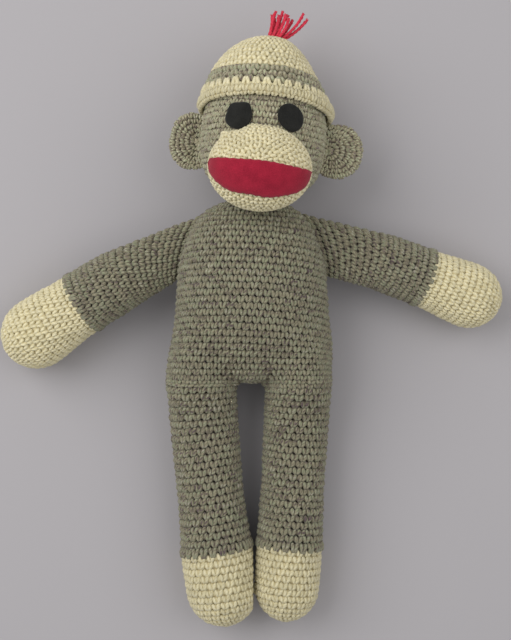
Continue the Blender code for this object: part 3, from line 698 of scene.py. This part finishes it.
def make_trunk():
    """Crochets the body and the legs, which run into each other."""
    top = BODY_BOTTOM_Y + BODY_LENGTH * BODY_SHARES[-1, 0]
    rises = even_rows(body_loop, np.linspace(JOIN_Y, top - BODY_TOP_GAP, BODY_PLACES), BODY_STEP)
    loops = [body_loop(rise) for rise in rises]
    for k in (2, 1, 0):
        loops[k] = follow(loops[k], loops[k + 1])
    covers = [knit(above_floor(loops), BODY_STITCH)]
    for leg in LEGS.values():

        def half(p):
            return np.maximum(trunk_field(p), leg.sign * (MIDDLE_X - p[:, 0]) + INSET)

        def leg_loop(t):
            upright = np.clip(1 - t / UPRIGHT_RUN, 0, 1)
            tilted = leg.direction + np.array((leg.row_tilt, 0, 0))
            up = unit(-tilted * (1 - upright) + UP * upright)
            return slice_loop(half, leg.hip + leg.direction * t, up, reach=LEG_REACH)

        root = -(JOIN_Y - leg.hip[1]) / math.cos(leg.lean)
        places = limb_rows(LEG_SHARES, leg.length + FOOT_YARN, leg.girth, LEG_PLACES_STEP, root)
        places = even_rows(leg_loop, places, leg.step)
        cream_rows = int(np.sum(places > leg.length * leg.change_share))
        leg.change = places[cream_rows]
        loops = [leg_loop(t) for t in places]
        loops[-1] = follow(loops[-1], loops[-2])
        covers.append(knit_limb(loops, leg.width, cream_rows))
    covers.append(knit(above_floor(crotch_loops()), BODY_STITCH))
    return covers


HIP_OUT, HIP_START, HIP_END, THIGH_END = 0.42, -0.0178, 0.016, 0.042


def hip_way(side):
    """Gives the way in which the hip's fabric hands over from the body to the leg."""
    return unit(np.array((LEGS[side].sign * HIP_OUT, -1.0, 0.0)))


def trunk_piece(part, side=None):
    """Says which of the trunk's fabric belongs to a piece."""

    def wanted(p):
        beyond = {s: (p - LEGS[s].hip) @ hip_way(s) for s in LEGS}
        of_left = p[:, 0] > MIDDLE_X
        reach = np.where(of_left, beyond["left"], beyond["right"])
        if part == "torso":
            return reach < HIP_START
        mine = of_left if side == "left" else ~of_left
        leg = LEGS[side]
        foot = (p - leg.hip) @ leg.direction > leg.change
        if part == "hip":
            return mine & (reach >= HIP_START) & (reach < HIP_END)
        if part == "leg":
            return mine & (reach >= HIP_END) & ~foot
        return mine & (reach >= HIP_END) & foot

    return wanted


trunk = make_trunk()
torso = make_knit("torso_crochet", trunk, trunk_piece("torso"))
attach(torso, "torso")
dress(("torso_cover", "torso_stuffing"))
for side, leg in LEGS.items():
    hip = make_knit(f"{side}_hip_crochet", trunk, trunk_piece("hip", side))
    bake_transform(hip)
    dress((f"{side}_hip_stuffing",))
    thigh = make_knit(f"{side}_leg_crochet", trunk, trunk_piece("leg", side))
    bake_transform(thigh)
    dress((f"{side}_leg", f"{side}_leg_stuffing"))
    foot = make_knit(f"{side}_foot_crochet", trunk, trunk_piece("foot", side))
    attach(foot, f"{side}_leg")
    dress((f"{side}_foot",))

ARMS = {
    "left": SimpleNamespace(
        sign=1, shoulder=np.array((0.07176, 0.0512, 0.042)), direction=np.array((0.94244, -0.28813, -0.16966)),
        length=0.1290, girth=0.0247, rise=0.0018, curve=0.42, width=0.0056, step=0.0049,
        seam=np.array((0.0, 0.0578, 0.038)), slant=np.array((-0.316, 0.949, 0.0))),
    "right": SimpleNamespace(
        sign=-1, shoulder=np.array((-0.07431, 0.0407, 0.042)), direction=np.array((-0.87918, -0.44797, -0.16236)),
        length=0.1345, girth=0.0269, rise=0.0036, curve=0.62, width=0.0060, step=0.0048,
        seam=np.array((0.0, 0.0560, 0.038)), slant=np.array((0.258, 0.966, 0.0))),
}
SEAM_HALF, SEAM_THICKNESS, ARM_FLAT_START = 0.0240, 0.0030, 0.026
SHOULDER_START, SHOULDER_END, SLEEVE_END = 0.001, 0.004, 0.028


def bend_arm(arm, t):
    """Gives the middle of the bent arm at a distance from the shoulder, the ways it and its side go there,
    and the side of the straight arm."""
    side = unit(np.cross(arm.direction, OUT)) * -arm.sign
    slope = -2 * arm.curve * t
    middle = arm.shoulder + arm.direction * t + side * (arm.rise - arm.curve * t**2)
    return middle, unit(arm.direction + slope * side), unit(side - slope * arm.direction), side


def arm_loops(arm, places):
    """Gives an arm's loops from the tip of the hand to the flat end that is sewn to the body."""
    field = limb_field(arm.shoulder, arm.direction, ARM_SHARES, arm.length, arm.girth)
    up = -arm.direction
    loops = []
    for t in places[places > ARM_FLAT_START]:
        centre = arm.shoulder + arm.direction * t
        away = slice_loop(lambda p: field(p) + INSET, centre, up, reach=ARM_REACH) - centre
        middle, _, across, side = bend_arm(arm, t)
        loops.append(middle + away + (away @ side)[:, None] * (across - side))
    turns = full_turn()
    first, second = span(up)
    radius = arm.girth * smooth(np.array([ARM_FLAT_START / arm.length]), ARM_SHARES, 1)[0] - INSET
    tube = bend_arm(arm, ARM_FLAT_START)[0] + radius * circle(turns, first, second)
    u = np.sin(turns) * np.sign(second @ arm.slant)
    seam = arm.seam + arm.slant * (u * SEAM_HALF)[:, None]
    seam[:, 2] = arm.seam[2] - np.cos(turns) * SEAM_THICKNESS
    seam[:, 0] = arm.sign * (body_form(seam[:, 1])[0] - INSET)
    gap = np.linalg.norm(tube.mean(axis=0) - seam.mean(axis=0))
    count = max(3, int(round(gap / arm.step)))
    for share in np.arange(count + 1) / count:
        loops.append(even_loop(tube * (1 - share) + seam * share))
    return loops


def make_arm(side, arm):
    """Crochets an arm and splits it at the shoulder."""
    places = limb_rows(ARM_SHARES, arm.length, arm.girth, arm.step)
    cream_rows = int(np.sum(places > arm.length * ARM_COLOUR_CHANGE))
    cover = knit_limb(arm_loops(arm, places), arm.width, cream_rows)
    wrist, wrist_way = bend_arm(arm, places[cream_rows])[:2]
    seam = arm.seam.copy()
    seam[0] = arm.sign * body_form(seam[1:2])[0][0]
    across = np.array((arm.sign * arm.slant[1], -arm.sign * arm.slant[0], 0.0))

    def folding(p):
        return (p - arm.shoulder) @ across < SHOULDER_END

    def of_hand(p):
        return (p - wrist) @ wrist_way > 0

    shoulder = make_knit(f"{side}_shoulder_crochet", [cover], folding)
    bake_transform(shoulder)
    dress((f"{side}_shoulder_stuffing",))
    sleeve = make_knit(f"{side}_sleeve_crochet", [cover], lambda p: ~folding(p) & ~of_hand(p))
    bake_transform(sleeve)
    dress((f"{side}_sleeve", f"{side}_arm_stuffing"))
    # The hand takes the lighter yarn colours, which are painted light
    hand = make_knit(f"{side}_hand_crochet", [cover], lambda p: ~folding(p) & of_hand(p), painted_lighter=True)
    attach(hand, f"{side}_arm")
    dress((f"{side}_hand",))


for side, arm in ARMS.items():
    make_arm(side, arm)


def from_head(p):
    """Turns points from the head's frame, which stands on the neck, into the doll's."""
    c, s = math.cos(HEAD_ROLL), math.sin(HEAD_ROLL)
    turn = np.array(((c, -s, 0), (s, c, 0), (0, 0, 1)))
    return np.asarray(p) @ turn.T + NECK


def egg(above, offset):
    """Gives the head's height, moved out by an offset, and its exponent, above and below the eyes."""
    return (np.where(above, HEAD_CROWN_HEIGHT, HEAD_CHIN_HEIGHT) + offset,
            np.where(above, CROWN_EXPONENT, CHIN_EXPONENT))


def head_field(offset):
    """Gives the head's distance function in its own frame, moved out by an offset."""

    def field(p):
        x, y, z = p[:, 0], p[:, 1] - HEAD_RISE, p[:, 2] - HEAD_LIFT
        tall, power = egg(y > 0, offset)
        wide = (HEAD_HALF_WIDTH + offset) * np.where(x > 0, 1 - smooth(y, CROWN_DENT, 1), 1.0)
        wide = wide * (1 + smooth(-y, CHEEKS, 1) * np.clip(1 - y / CHEEK_FADE, 0, 1))
        round_it = np.sqrt((x / wide) ** 2 + (z / (HEAD_HALF_DEPTH + offset)) ** 2)
        whole = (round_it**power + np.abs(y / tall) ** power) ** (1 / power)
        return (whole - 1) * (HEAD_HALF_WIDTH + offset)

    return field


def head_line(offset, low, high):
    """Gives the head's side outline between two turns from chin to crown, as rise and reach."""
    turn = np.linspace(low, high, LINE_POINTS)
    tall, power = egg(turn > 0, offset)
    rise = HEAD_RISE + np.sign(turn) * tall * np.abs(np.sin(turn)) ** (2 / power)
    return np.stack([rise, (HEAD_HALF_WIDTH + offset) * np.cos(turn) ** (2 / power)], axis=1)


HEAD_STITCH, HEAD_STEP = 0.0043, 0.0042
NECK_STITCH, NECK_SPAN, NECK_ROWS = 0.0052, 1.1, 7
MUZZLE_STITCH, MUZZLE_STEP = 0.0062, 0.0036
MUZZLE_START, MUZZLE_END = 0.05, math.radians(118)
# Bumps and hollows on the muzzle's rim, as heights, turns and widths, and how fast they fade toward its middle
MUZZLE_RIM = ((0.10, 0.67, 0.075), (0.035, 1.33, 0.10), (-0.05, 1.0, 0.14))
MUZZLE_RIM_FADE = 8


def make_head():
    """Crochets the head from the chin to the crown."""
    line = head_line(-INSET, -POLE, POLE)
    field = head_field(-INSET)
    loops = [slice_loop(field, np.array((0, rise, HEAD_LIFT)), UP) for rise in along(line, HEAD_STEP, line[:, 0])]
    cover = knit(from_head(loops), HEAD_STITCH, radius_share=0.27, wobble=2.0, depth=0.5)
    # The head takes the lighter yarn colours, which are painted light
    head = make_knit("head_crochet", [cover], painted_lighter=True)
    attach(head, "head")
    dress(("head_cover", "head_stuffing"))


def make_neck():
    """Crochets the short neck that shows between head and body."""
    up = from_head(UP) - NECK
    ring = circle(full_turn(), *span(up))
    loops = [NECK + up * NECK_WAD_RADIUS * math.sin(t) + NECK_WAD_RADIUS * math.cos(t) * ring
             for t in np.linspace(-NECK_SPAN, NECK_SPAN, NECK_ROWS)]
    neck = make_knit("neck_crochet", [knit(np.array(loops), NECK_STITCH)])
    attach(neck, "neck")
    dress(("neck_stuffing",))


def make_muzzle():
    """Crochets the muzzle in rings round its middle, with the uneven rim that hand work has."""
    half = MUZZLE_HALF - INSET
    turn = np.linspace(MUZZLE_START, MUZZLE_END, LINE_POINTS)
    line = np.stack([half[2] * np.cos(turn), (half[0] + half[1]) / 2 * np.sin(turn)], axis=1)
    ring = full_turn(RIM_POINTS)
    x, y = -np.sin(ring), -np.cos(ring)
    round_it = np.arctan2(y * half[1], -x * half[0])
    rim = sum(high * np.exp(-((round_it - place) / wide) ** 2) for high, place, wide in MUZZLE_RIM)
    loops = []
    for t in along(line, MUZZLE_STEP, turn):
        size = math.sin(t) * (1 + rim * math.sin(min(t, math.pi / 2)) ** MUZZLE_RIM_FADE)
        z = np.full(RIM_POINTS, half[2] * math.cos(t))
        loops.append(even_loop(np.stack([half[0] * size * x, half[1] * size * y, z], axis=1) + MUZZLE_CENTRE))
    cover = knit(from_head(loops), MUZZLE_STITCH, lambda k: CREAM, radius_share=0.23, wobble=0.4, depth=0.85)
    # The muzzle takes the lighter yarn colours, which are painted light
    muzzle = make_knit("muzzle_crochet", [cover], painted_lighter=True)
    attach(muzzle, "head")
    dress(("muzzle_cover", "muzzle_stuffing"))


make_head()
make_neck()
make_muzzle()

# A felt patch is thinner at its edge, by a share of its thickness, over this many rows of its grid
PATCH_EDGE, PATCH_FADE = 0.4, 2
MOUTH_FELT, EYE_FELT = 0.0014, 0.0013
MOUTH_GRID, EYE_GRID = (25, 61), 29
MOUTH_MARGIN, MOUTH_LIFT, EYE_LIFT, STEEPEST = 0.0002, 0.0004, 0.0006, (0.012, 0.01)
MOUTH_EXPONENT, LIP_EXPONENT = 2.5, 0.3
LIP_RISE, LIP_SLANT, JAW_SLANT = 0.0020, 0.0016, 0.04
# Waves in the cut of the mouth, as heights, paces and starts
LIP_WAVES, JAW_WAVES = ((0.0003, 5.1, 1.0),), ((-0.0004, 9, 0),)
RAGGED_WAVES = ((0.00022, 41, 0), (0.00016, 73, 1))
# How the scissors cut each eye: the turn in degrees and the reach as a share of the radius
EYE_CUTS = {
    "left": ((-124, 0.93), (-77, 1.09), (-39, 1.05), (0, 0.98), (55, 0.95), (97, 1.06), (136, 1.10), (180, 1.0)),
    "right": ((-159, 1.07), (-109, 1.01), (-58, 1.02), (5, 1.02), (30, 1.04), (53, 1.16), (92, 0.98), (129, 1.10),
              (162, 0.95)),
}


def patch(name, x, y, z, thickness, material):
    """Makes a felt patch with a soft edge, from the grid of places on the ground under it."""
    rows, cols = x.shape
    inward = (np.minimum(np.arange(n), n - 1 - np.arange(n)) / PATCH_FADE for n in (rows, cols))
    round_off = np.sqrt(1 - (1 - np.clip(np.minimum.outer(*inward), 0, 1)) ** 2)
    top = np.stack([x, y, z + thickness * (PATCH_EDGE + (1 - PATCH_EDGE) * round_off)], axis=-1)
    under = np.stack([x, y, z], axis=-1)
    grid = np.vstack([top.reshape(-1, 3), under.reshape(-1, 3)])
    size = rows * cols
    index = np.arange(size).reshape(rows, cols)
    faces = np.stack([index[:-1, :-1], index[:-1, 1:], index[1:, 1:], index[1:, :-1]], axis=-1).reshape(-1, 4)
    rim = np.concatenate([index[0, :-1], index[:-1, -1], index[-1, :0:-1], index[:0:-1, 0]])
    after = np.roll(rim, -1)
    walls = np.stack([rim, rim + size, after + size, after], axis=-1)
    every = np.vstack([faces, walls, faces[:, ::-1] + size])
    return mesh_object(name, from_head(grid), [every], [np.zeros(len(every))], np.zeros((1, 2)),
                       np.full(len(grid), 0.5), (material,))


def waves(u, table):
    """Adds up waves along a cut."""
    return sum(height * np.sin(pace * u + start) for height, pace, start in table)


def make_mouth():
    """Lays the half moon of red felt on the muzzle."""
    u = np.linspace(-1, 1, MOUTH_GRID[1])
    curve = np.sqrt(np.clip(1 - np.abs(u) ** MOUTH_EXPONENT, 0, 1))
    upper = (LIP_RISE - LIP_SLANT * u) * curve**LIP_EXPONENT + waves(u, LIP_WAVES)
    lower = -MOUTH_DROP * curve * (1 + JAW_SLANT * u) + waves(u, JAW_WAVES)
    ragged = waves(u, RAGGED_WAVES)
    share = np.linspace(0, 1, MOUTH_GRID[0])[:, None]
    x = np.broadcast_to(u * (MOUTH_HALF - MOUTH_MARGIN), MOUTH_GRID)
    y = (lower + ragged) * (1 - share) + (upper + ragged[::-1]) * share
    half = MUZZLE_HALF + MOUTH_LIFT
    z = half[2] * np.sqrt(np.clip(1 - (x / half[0]) ** 2 - (y / half[1]) ** 2, STEEPEST[0], 1))
    places = (value + centre for value, centre in zip((x, y, z), MUZZLE_CENTRE))
    mouth = patch("mouth_felt", *places, MOUTH_FELT, RED_FELT)
    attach(mouth, "head")
    dress(("mouth",))


def make_eye(side, sign):
    """Lays a cut round of black felt on the face."""
    a, b = np.meshgrid(*[np.linspace(-1, 1, EYE_GRID)] * 2)
    x, y = a * np.sqrt(1 - b**2 / 2), b * np.sqrt(1 - a**2 / 2)
    cut = np.interp(np.degrees(np.arctan2(y, x)), *np.transpose(EYE_CUTS[side]), period=360)
    x = x * cut * EYE_RADIUS + sign * EYE_SPACING / 2
    y = y * cut * EYE_RADIUS - EYE_DROPS[side]
    tall, power = egg(y > 0, EYE_LIFT)
    round_it = (1 - np.abs(y / tall) ** power) ** (2 / power)
    z = (HEAD_HALF_DEPTH + EYE_LIFT) * np.sqrt(
        np.clip(round_it - (x / (HEAD_HALF_WIDTH + EYE_LIFT)) ** 2, STEEPEST[1], 1))
    eye = patch(f"{side}_eye_felt", x, y + HEAD_RISE, z + HEAD_LIFT, EYE_FELT, BLACK_FELT)
    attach(eye, "head")
    dress((f"{side}_eye",))


make_mouth()
for side, sign in (("left", 1), ("right", -1)):
    make_eye(side, sign)

# An ear's rings are squarer and fan out on its inner side, where a fold runs down it
EAR_SQUARE, EAR_FAN = 3.4, 0.5
EAR_STITCH, EAR_STEP, EAR_POLE, EAR_POINTS = 0.0044, 0.0032, math.pi / 2 * 0.985, 360
EAR_HALF = EAR_HALF_THICKNESS - INSET * 0.6
EAR_FOLDS = {"left": (-0.50, 0.20, 0.0016), "right": (-0.30, 0.24, 0.0034)}


def make_ear(side, sign):
    """Crochets a cupped ear in rings, front and back, that fan out from the side of the head."""
    half_width, half_height = EAR_HALF_WIDTHS[side], EAR_HALF_HEIGHTS[side]
    middle = sign * (half_width - EAR_ROOT_INSET)
    seam = np.array((sign * HEAD_HALF_WIDTH, HEAD_RISE - EAR_DROPS[side], HEAD_LIFT))
    fold_place, fold_width, fold_depth = EAR_FOLDS[side]
    turn = np.linspace(EAR_POLE, -EAR_POLE, LINE_POINTS)
    reach = np.cos(turn)
    lift = EAR_CUP_DEPTH * (reach**2 - 1) + EAR_HALF * np.sin(turn)
    line = np.stack([(half_width + half_height) / 2 * reach, lift], axis=1)
    ring = full_turn(EAR_POINTS)
    c, s = np.cos(ring), np.sin(ring)
    square = np.where(c > 0, (np.abs(c) ** EAR_SQUARE + np.abs(s) ** EAR_SQUARE) ** (-1 / EAR_SQUARE), 1.0)
    loops = []
    for t in along(line, EAR_STEP, turn):
        r = math.cos(t)
        across, high = r * square * c + EAR_FAN * (1 - r), r * square * s
        z = EAR_CUP_DEPTH * (r**2 - 1) + EAR_HALF * math.sin(t)
        fold = fold_depth * np.exp(-((-across - fold_place) / fold_width) ** 2) * (1 - high**2)
        loop = np.stack([middle + (half_width - INSET) * across * -sign,
                         (half_height - INSET) * high * sign - EAR_SAG, z - fold], axis=1)
        loops.append(even_loop(loop + seam))
    # The ear takes the lighter yarn colours, which are painted light
    ear = make_knit(f"{side}_ear_crochet", [knit(from_head(loops), EAR_STITCH, wobble=2.2, depth=0.75)], painted_lighter=True)
    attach(ear, f"{side}_ear")
    dress((f"{side}_ear",))


for side, sign in (("left", 1), ("right", -1)):
    make_ear(side, sign)

HAT_STITCH, HAT_STEP = 0.0070, 0.0046
HAT_LINE_END, HAT_SIDE_LOW, HAT_TOP_SHARE = 0.1, 0.010, 0.998
BRIM_STITCH, BRIM_STEP, BRIM_ROLL, BRIM_POINTS = 0.0056, 0.0050, 2.3, 200


def make_hat():
    """Crochets the hat from the crown down: crown, striped band, side and rolled brim."""
    offset = HAT_OFFSET - INSET
    field = head_field(offset)
    line = head_line(offset, POLE, HAT_LINE_END)
    rises = along(line, HAT_STEP, line[:, 0]) - HEAD_RISE
    rises = rises[rises > HAT_SIDE_LOW]
    rises += BAND_BOTTOM_RISE - rises[np.argmin(np.abs(rises - BAND_BOTTOM_RISE))]
    top = HEAD_CROWN_HEIGHT + offset
    rises = rises[rises < top * HAT_TOP_SHARE]
    first, last = (int(np.argmin(np.abs(rises - edge))) for edge in (BAND_TOP_RISE, BAND_BOTTOM_RISE))
    loops = []
    for rise in rises:
        tilt = BAND_TILT * min(1.0, (top - rise) / (top - BAND_TOP_RISE))
        down = -np.array((0, math.cos(tilt), math.sin(tilt)))
        loops.append(slice_loop(field, np.array((0, HEAD_RISE + rise, HEAD_LIFT)), down))
    cover = knit(from_head(loops), HAT_STITCH, lambda k: TWEED if first <= k < last else CREAM,
                 radius_share=0.225, teeth=(last,))
    out = from_head(np.array((0, math.cos(BAND_TILT), math.sin(BAND_TILT)))) - NECK

    def beyond(p, k):
        """Says which points lie past a row, toward the crown."""
        return (p - from_head(np.array((0, HEAD_RISE + rises[k], HEAD_LIFT)))) @ out > 0

    # The crown, band and side take the lighter yarn colours, which are painted light
    crown = make_knit("hat_crown_crochet", [cover], lambda p: beyond(p, first), painted_lighter=True)
    band = make_knit("hat_band_crochet", [cover], lambda p: ~beyond(p, first) & beyond(p, last), painted_lighter=True)
    edge = make_knit("hat_side_crochet", [cover], lambda p: ~beyond(p, last), painted_lighter=True)
    section = np.linspace(-BRIM_ROLL, BRIM_ROLL, BRIM_POINTS)
    deep, tall = BRIM_THICKNESS / 2 - INSET * 0.3, BRIM_HEIGHT / 2 - INSET * 0.5
    outline = np.stack([deep * np.cos(section), tall * np.sin(section)], axis=1)
    ring = full_turn(RIM_POINTS)
    c, s = math.cos(BRIM_TILT), math.sin(BRIM_TILT)
    loops = []
    for t in along(outline, BRIM_STEP, section):
        out_by = BRIM_GAP + BRIM_THICKNESS / 2 + deep * math.cos(t)
        x = (HEAD_HALF_WIDTH + out_by) * -np.sin(ring)
        z = (HEAD_HALF_DEPTH + out_by) * -np.cos(ring)
        y = np.full(RIM_POINTS, BRIM_RISE + tall * math.sin(t))
        loop = np.stack([x, c * y - s * z + HEAD_RISE, s * y + c * z + HEAD_LIFT], axis=1)
        loops.append(even_loop(loop))
    cover = knit(above_floor(from_head(loops)), BRIM_STITCH, lambda k: CREAM, wobble=1.5)
    brim = make_knit("hat_brim_crochet", [cover])
    for piece, node, slot in ((crown, "hat_crown", "cream_yarn"), (band, "hat_band", "tweed_yarn"),
                              (edge, "hat_side", "cream_yarn"), (brim, "hat_brim", "cream_yarn")):
        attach(piece, "hat")
        dress((node,))


# Yarn ends of the tassel: foot across, depth, lean in degrees, length, and how far the end bends
TASSEL_STRANDS = (
    (-0.0040, 0.000, -3, 0.0165, 0.0008), (-0.0022, 0.002, 3, 0.0185, -0.0006), (-0.0008, -0.001, 9, 0.0205, 0.0004),
    (0.0006, 0.003, 12, 0.0180, 0.0010), (0.0018, 0.000, 19, 0.0185, -0.0008), (0.0030, -0.002, 24, 0.0175, 0.0006),
    (0.0046, 0.001, 29, 0.0235, 0.0014), (0.0060, -0.001, 38, 0.0225, 0.0010), (-0.0030, -0.003, 0, 0.0155, 0.0010),
    (0.0010, -0.003, 7, 0.0165, -0.0010), (0.0024, 0.003, 16, 0.0160, 0.0012), (-0.0014, 0.004, 5, 0.0160, 0.0008),
)

TASSEL_SINK, TASSEL_SPREAD, TASSEL_POINTS = 0.002, 25, 9
BEND_TURN, BEND_SHARE = 2.6, 2
STRAND_PLIES, STRAND_PITCH, STRAND_RADIUS, STRAND_SIDES = 3, 0.009, 0.00082, 6
PLY_APART, FRAY, FRAY_START = 0.00062, 0.0012, 0.75
STRAND_TAPER = np.array((1, 1, 1, 1, 1, 1, 1, 0.95, 0.6))


def make_tassel():
    """Ties the tassel of red yarn ends into the top of the hat."""
    crown_top = HEAD_RISE + HEAD_CROWN_HEIGHT + HAT_OFFSET
    share = np.linspace(0, 1, TASSEL_POINTS)[:, None]
    apart = PLY_APART + FRAY * np.clip(share - FRAY_START, 0, 1)
    paths, ways = [], []
    for across, depth, lean, length, bend in TASSEL_STRANDS:
        root = np.array((TASSEL_X + across, crown_top - TASSEL_SINK, HEAD_LIFT + depth))
        turn = math.radians(lean) - HEAD_ROLL
        run = unit(np.array((math.sin(turn), math.cos(turn), depth * TASSEL_SPREAD)))
        side = unit(np.cross(run, OUT))
        over = np.cross(side, run)
        middle = root + run * share * length * TASSEL_STRETCH + side * bend * np.sin(share * BEND_TURN) * BEND_SHARE
        for ply in range(STRAND_PLIES):
            swing = 2 * math.pi * (ply / STRAND_PLIES + share * length / STRAND_PITCH)
            paths.append(middle + (np.cos(swing) * side + np.sin(swing) * over) * apart)
            ways.append(np.broadcast_to(over, middle.shape))
    points, quads, caps, places = tubes(from_head(paths), np.array(ways), np.full(len(paths), STRAND_RADIUS),
                                        STRAND_TAPER, STRAND_SIDES)
    tone = np.repeat(RANDOM.random(len(paths)), len(STRAND_TAPER) * STRAND_SIDES)
    tassel = mesh_object("tassel_yarn", points, [quads, caps], [np.zeros(len(quads) + len(caps))], places, tone,
                         (RED_YARN,))
    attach(tassel, "hat")
    dress(("tassel",))


make_hat()
make_tassel()

FLOOR_SIZE, FLOOR_COLOUR = 12, (0.440, 0.420, 0.432)
SKY_COLOUR, SKY_STRENGTH, SHOWN_STRENGTH = (0.98, 0.99, 1.0), 0.50, 0.51
# Each soft light's place, size and power
LIGHTS = {"key": ((-0.95, 0.45, 1.12), 1.3, 13.5), "fill": ((0.9, 0.20, 1.2), 1.2, 5.4)}
CAMERA_PLACE, SENSOR, LENS = (0.0027, 0.0, 0.995), 36, 70.3


def make_room():
    """Lays a plain pale floor, with soft light from above and round about."""
    bpy.ops.mesh.primitive_plane_add(size=FLOOR_SIZE)
    floor = bpy.context.object
    floor.name = "floor"
    n = Nodes(bpy.data.materials.new("plain_floor"))
    n.feed(n.tree.nodes["Principled BSDF"],
           {"Base Color": FLOOR_COLOUR, "Roughness": 0.9, "Specular IOR Level": 0.1})
    floor.data.materials.append(n.owner)
    for name, (place, size, power) in LIGHTS.items():
        light = bpy.data.lights.new(name, "AREA")
        light.size, light.energy = size, power
        lamp = link(name, light)
        lamp.location = place
        lamp.rotation_euler = (-Vector(place)).to_track_quat("-Z", "Y").to_euler()
    n = Nodes(bpy.data.worlds.new("room"))
    bpy.context.scene.world = n.owner
    sky = n.tree.nodes["Background"]
    n.feed(sky, {0: SKY_COLOUR, 1: SKY_STRENGTH})
    rays = n.add("LightPath", {}).node.outputs
    shown = rays["Is Camera Ray"]
    for ray in ("Is Glossy Ray", "Is Transmission Ray"):
        shown = n.maths("MAXIMUM", shown, rays[ray])
    seen = n.add("Background", {0: FLOOR_COLOUR, 1: SHOWN_STRENGTH})
    n.feed(n.tree.nodes["World Output"], {0: n.add("MixShader", {0: shown, 1: sky.outputs[0], 2: seen})})


def make_camera():
    """Looks straight down on the doll, as the photograph does."""
    data = bpy.data.cameras.new("camera")
    data.sensor_width, data.lens = SENSOR, LENS
    camera = link("camera", data)
    camera.location = CAMERA_PLACE
    bpy.context.scene.camera = camera


make_room()
make_camera()
bpy.context.scene.view_settings.view_transform = "Standard"
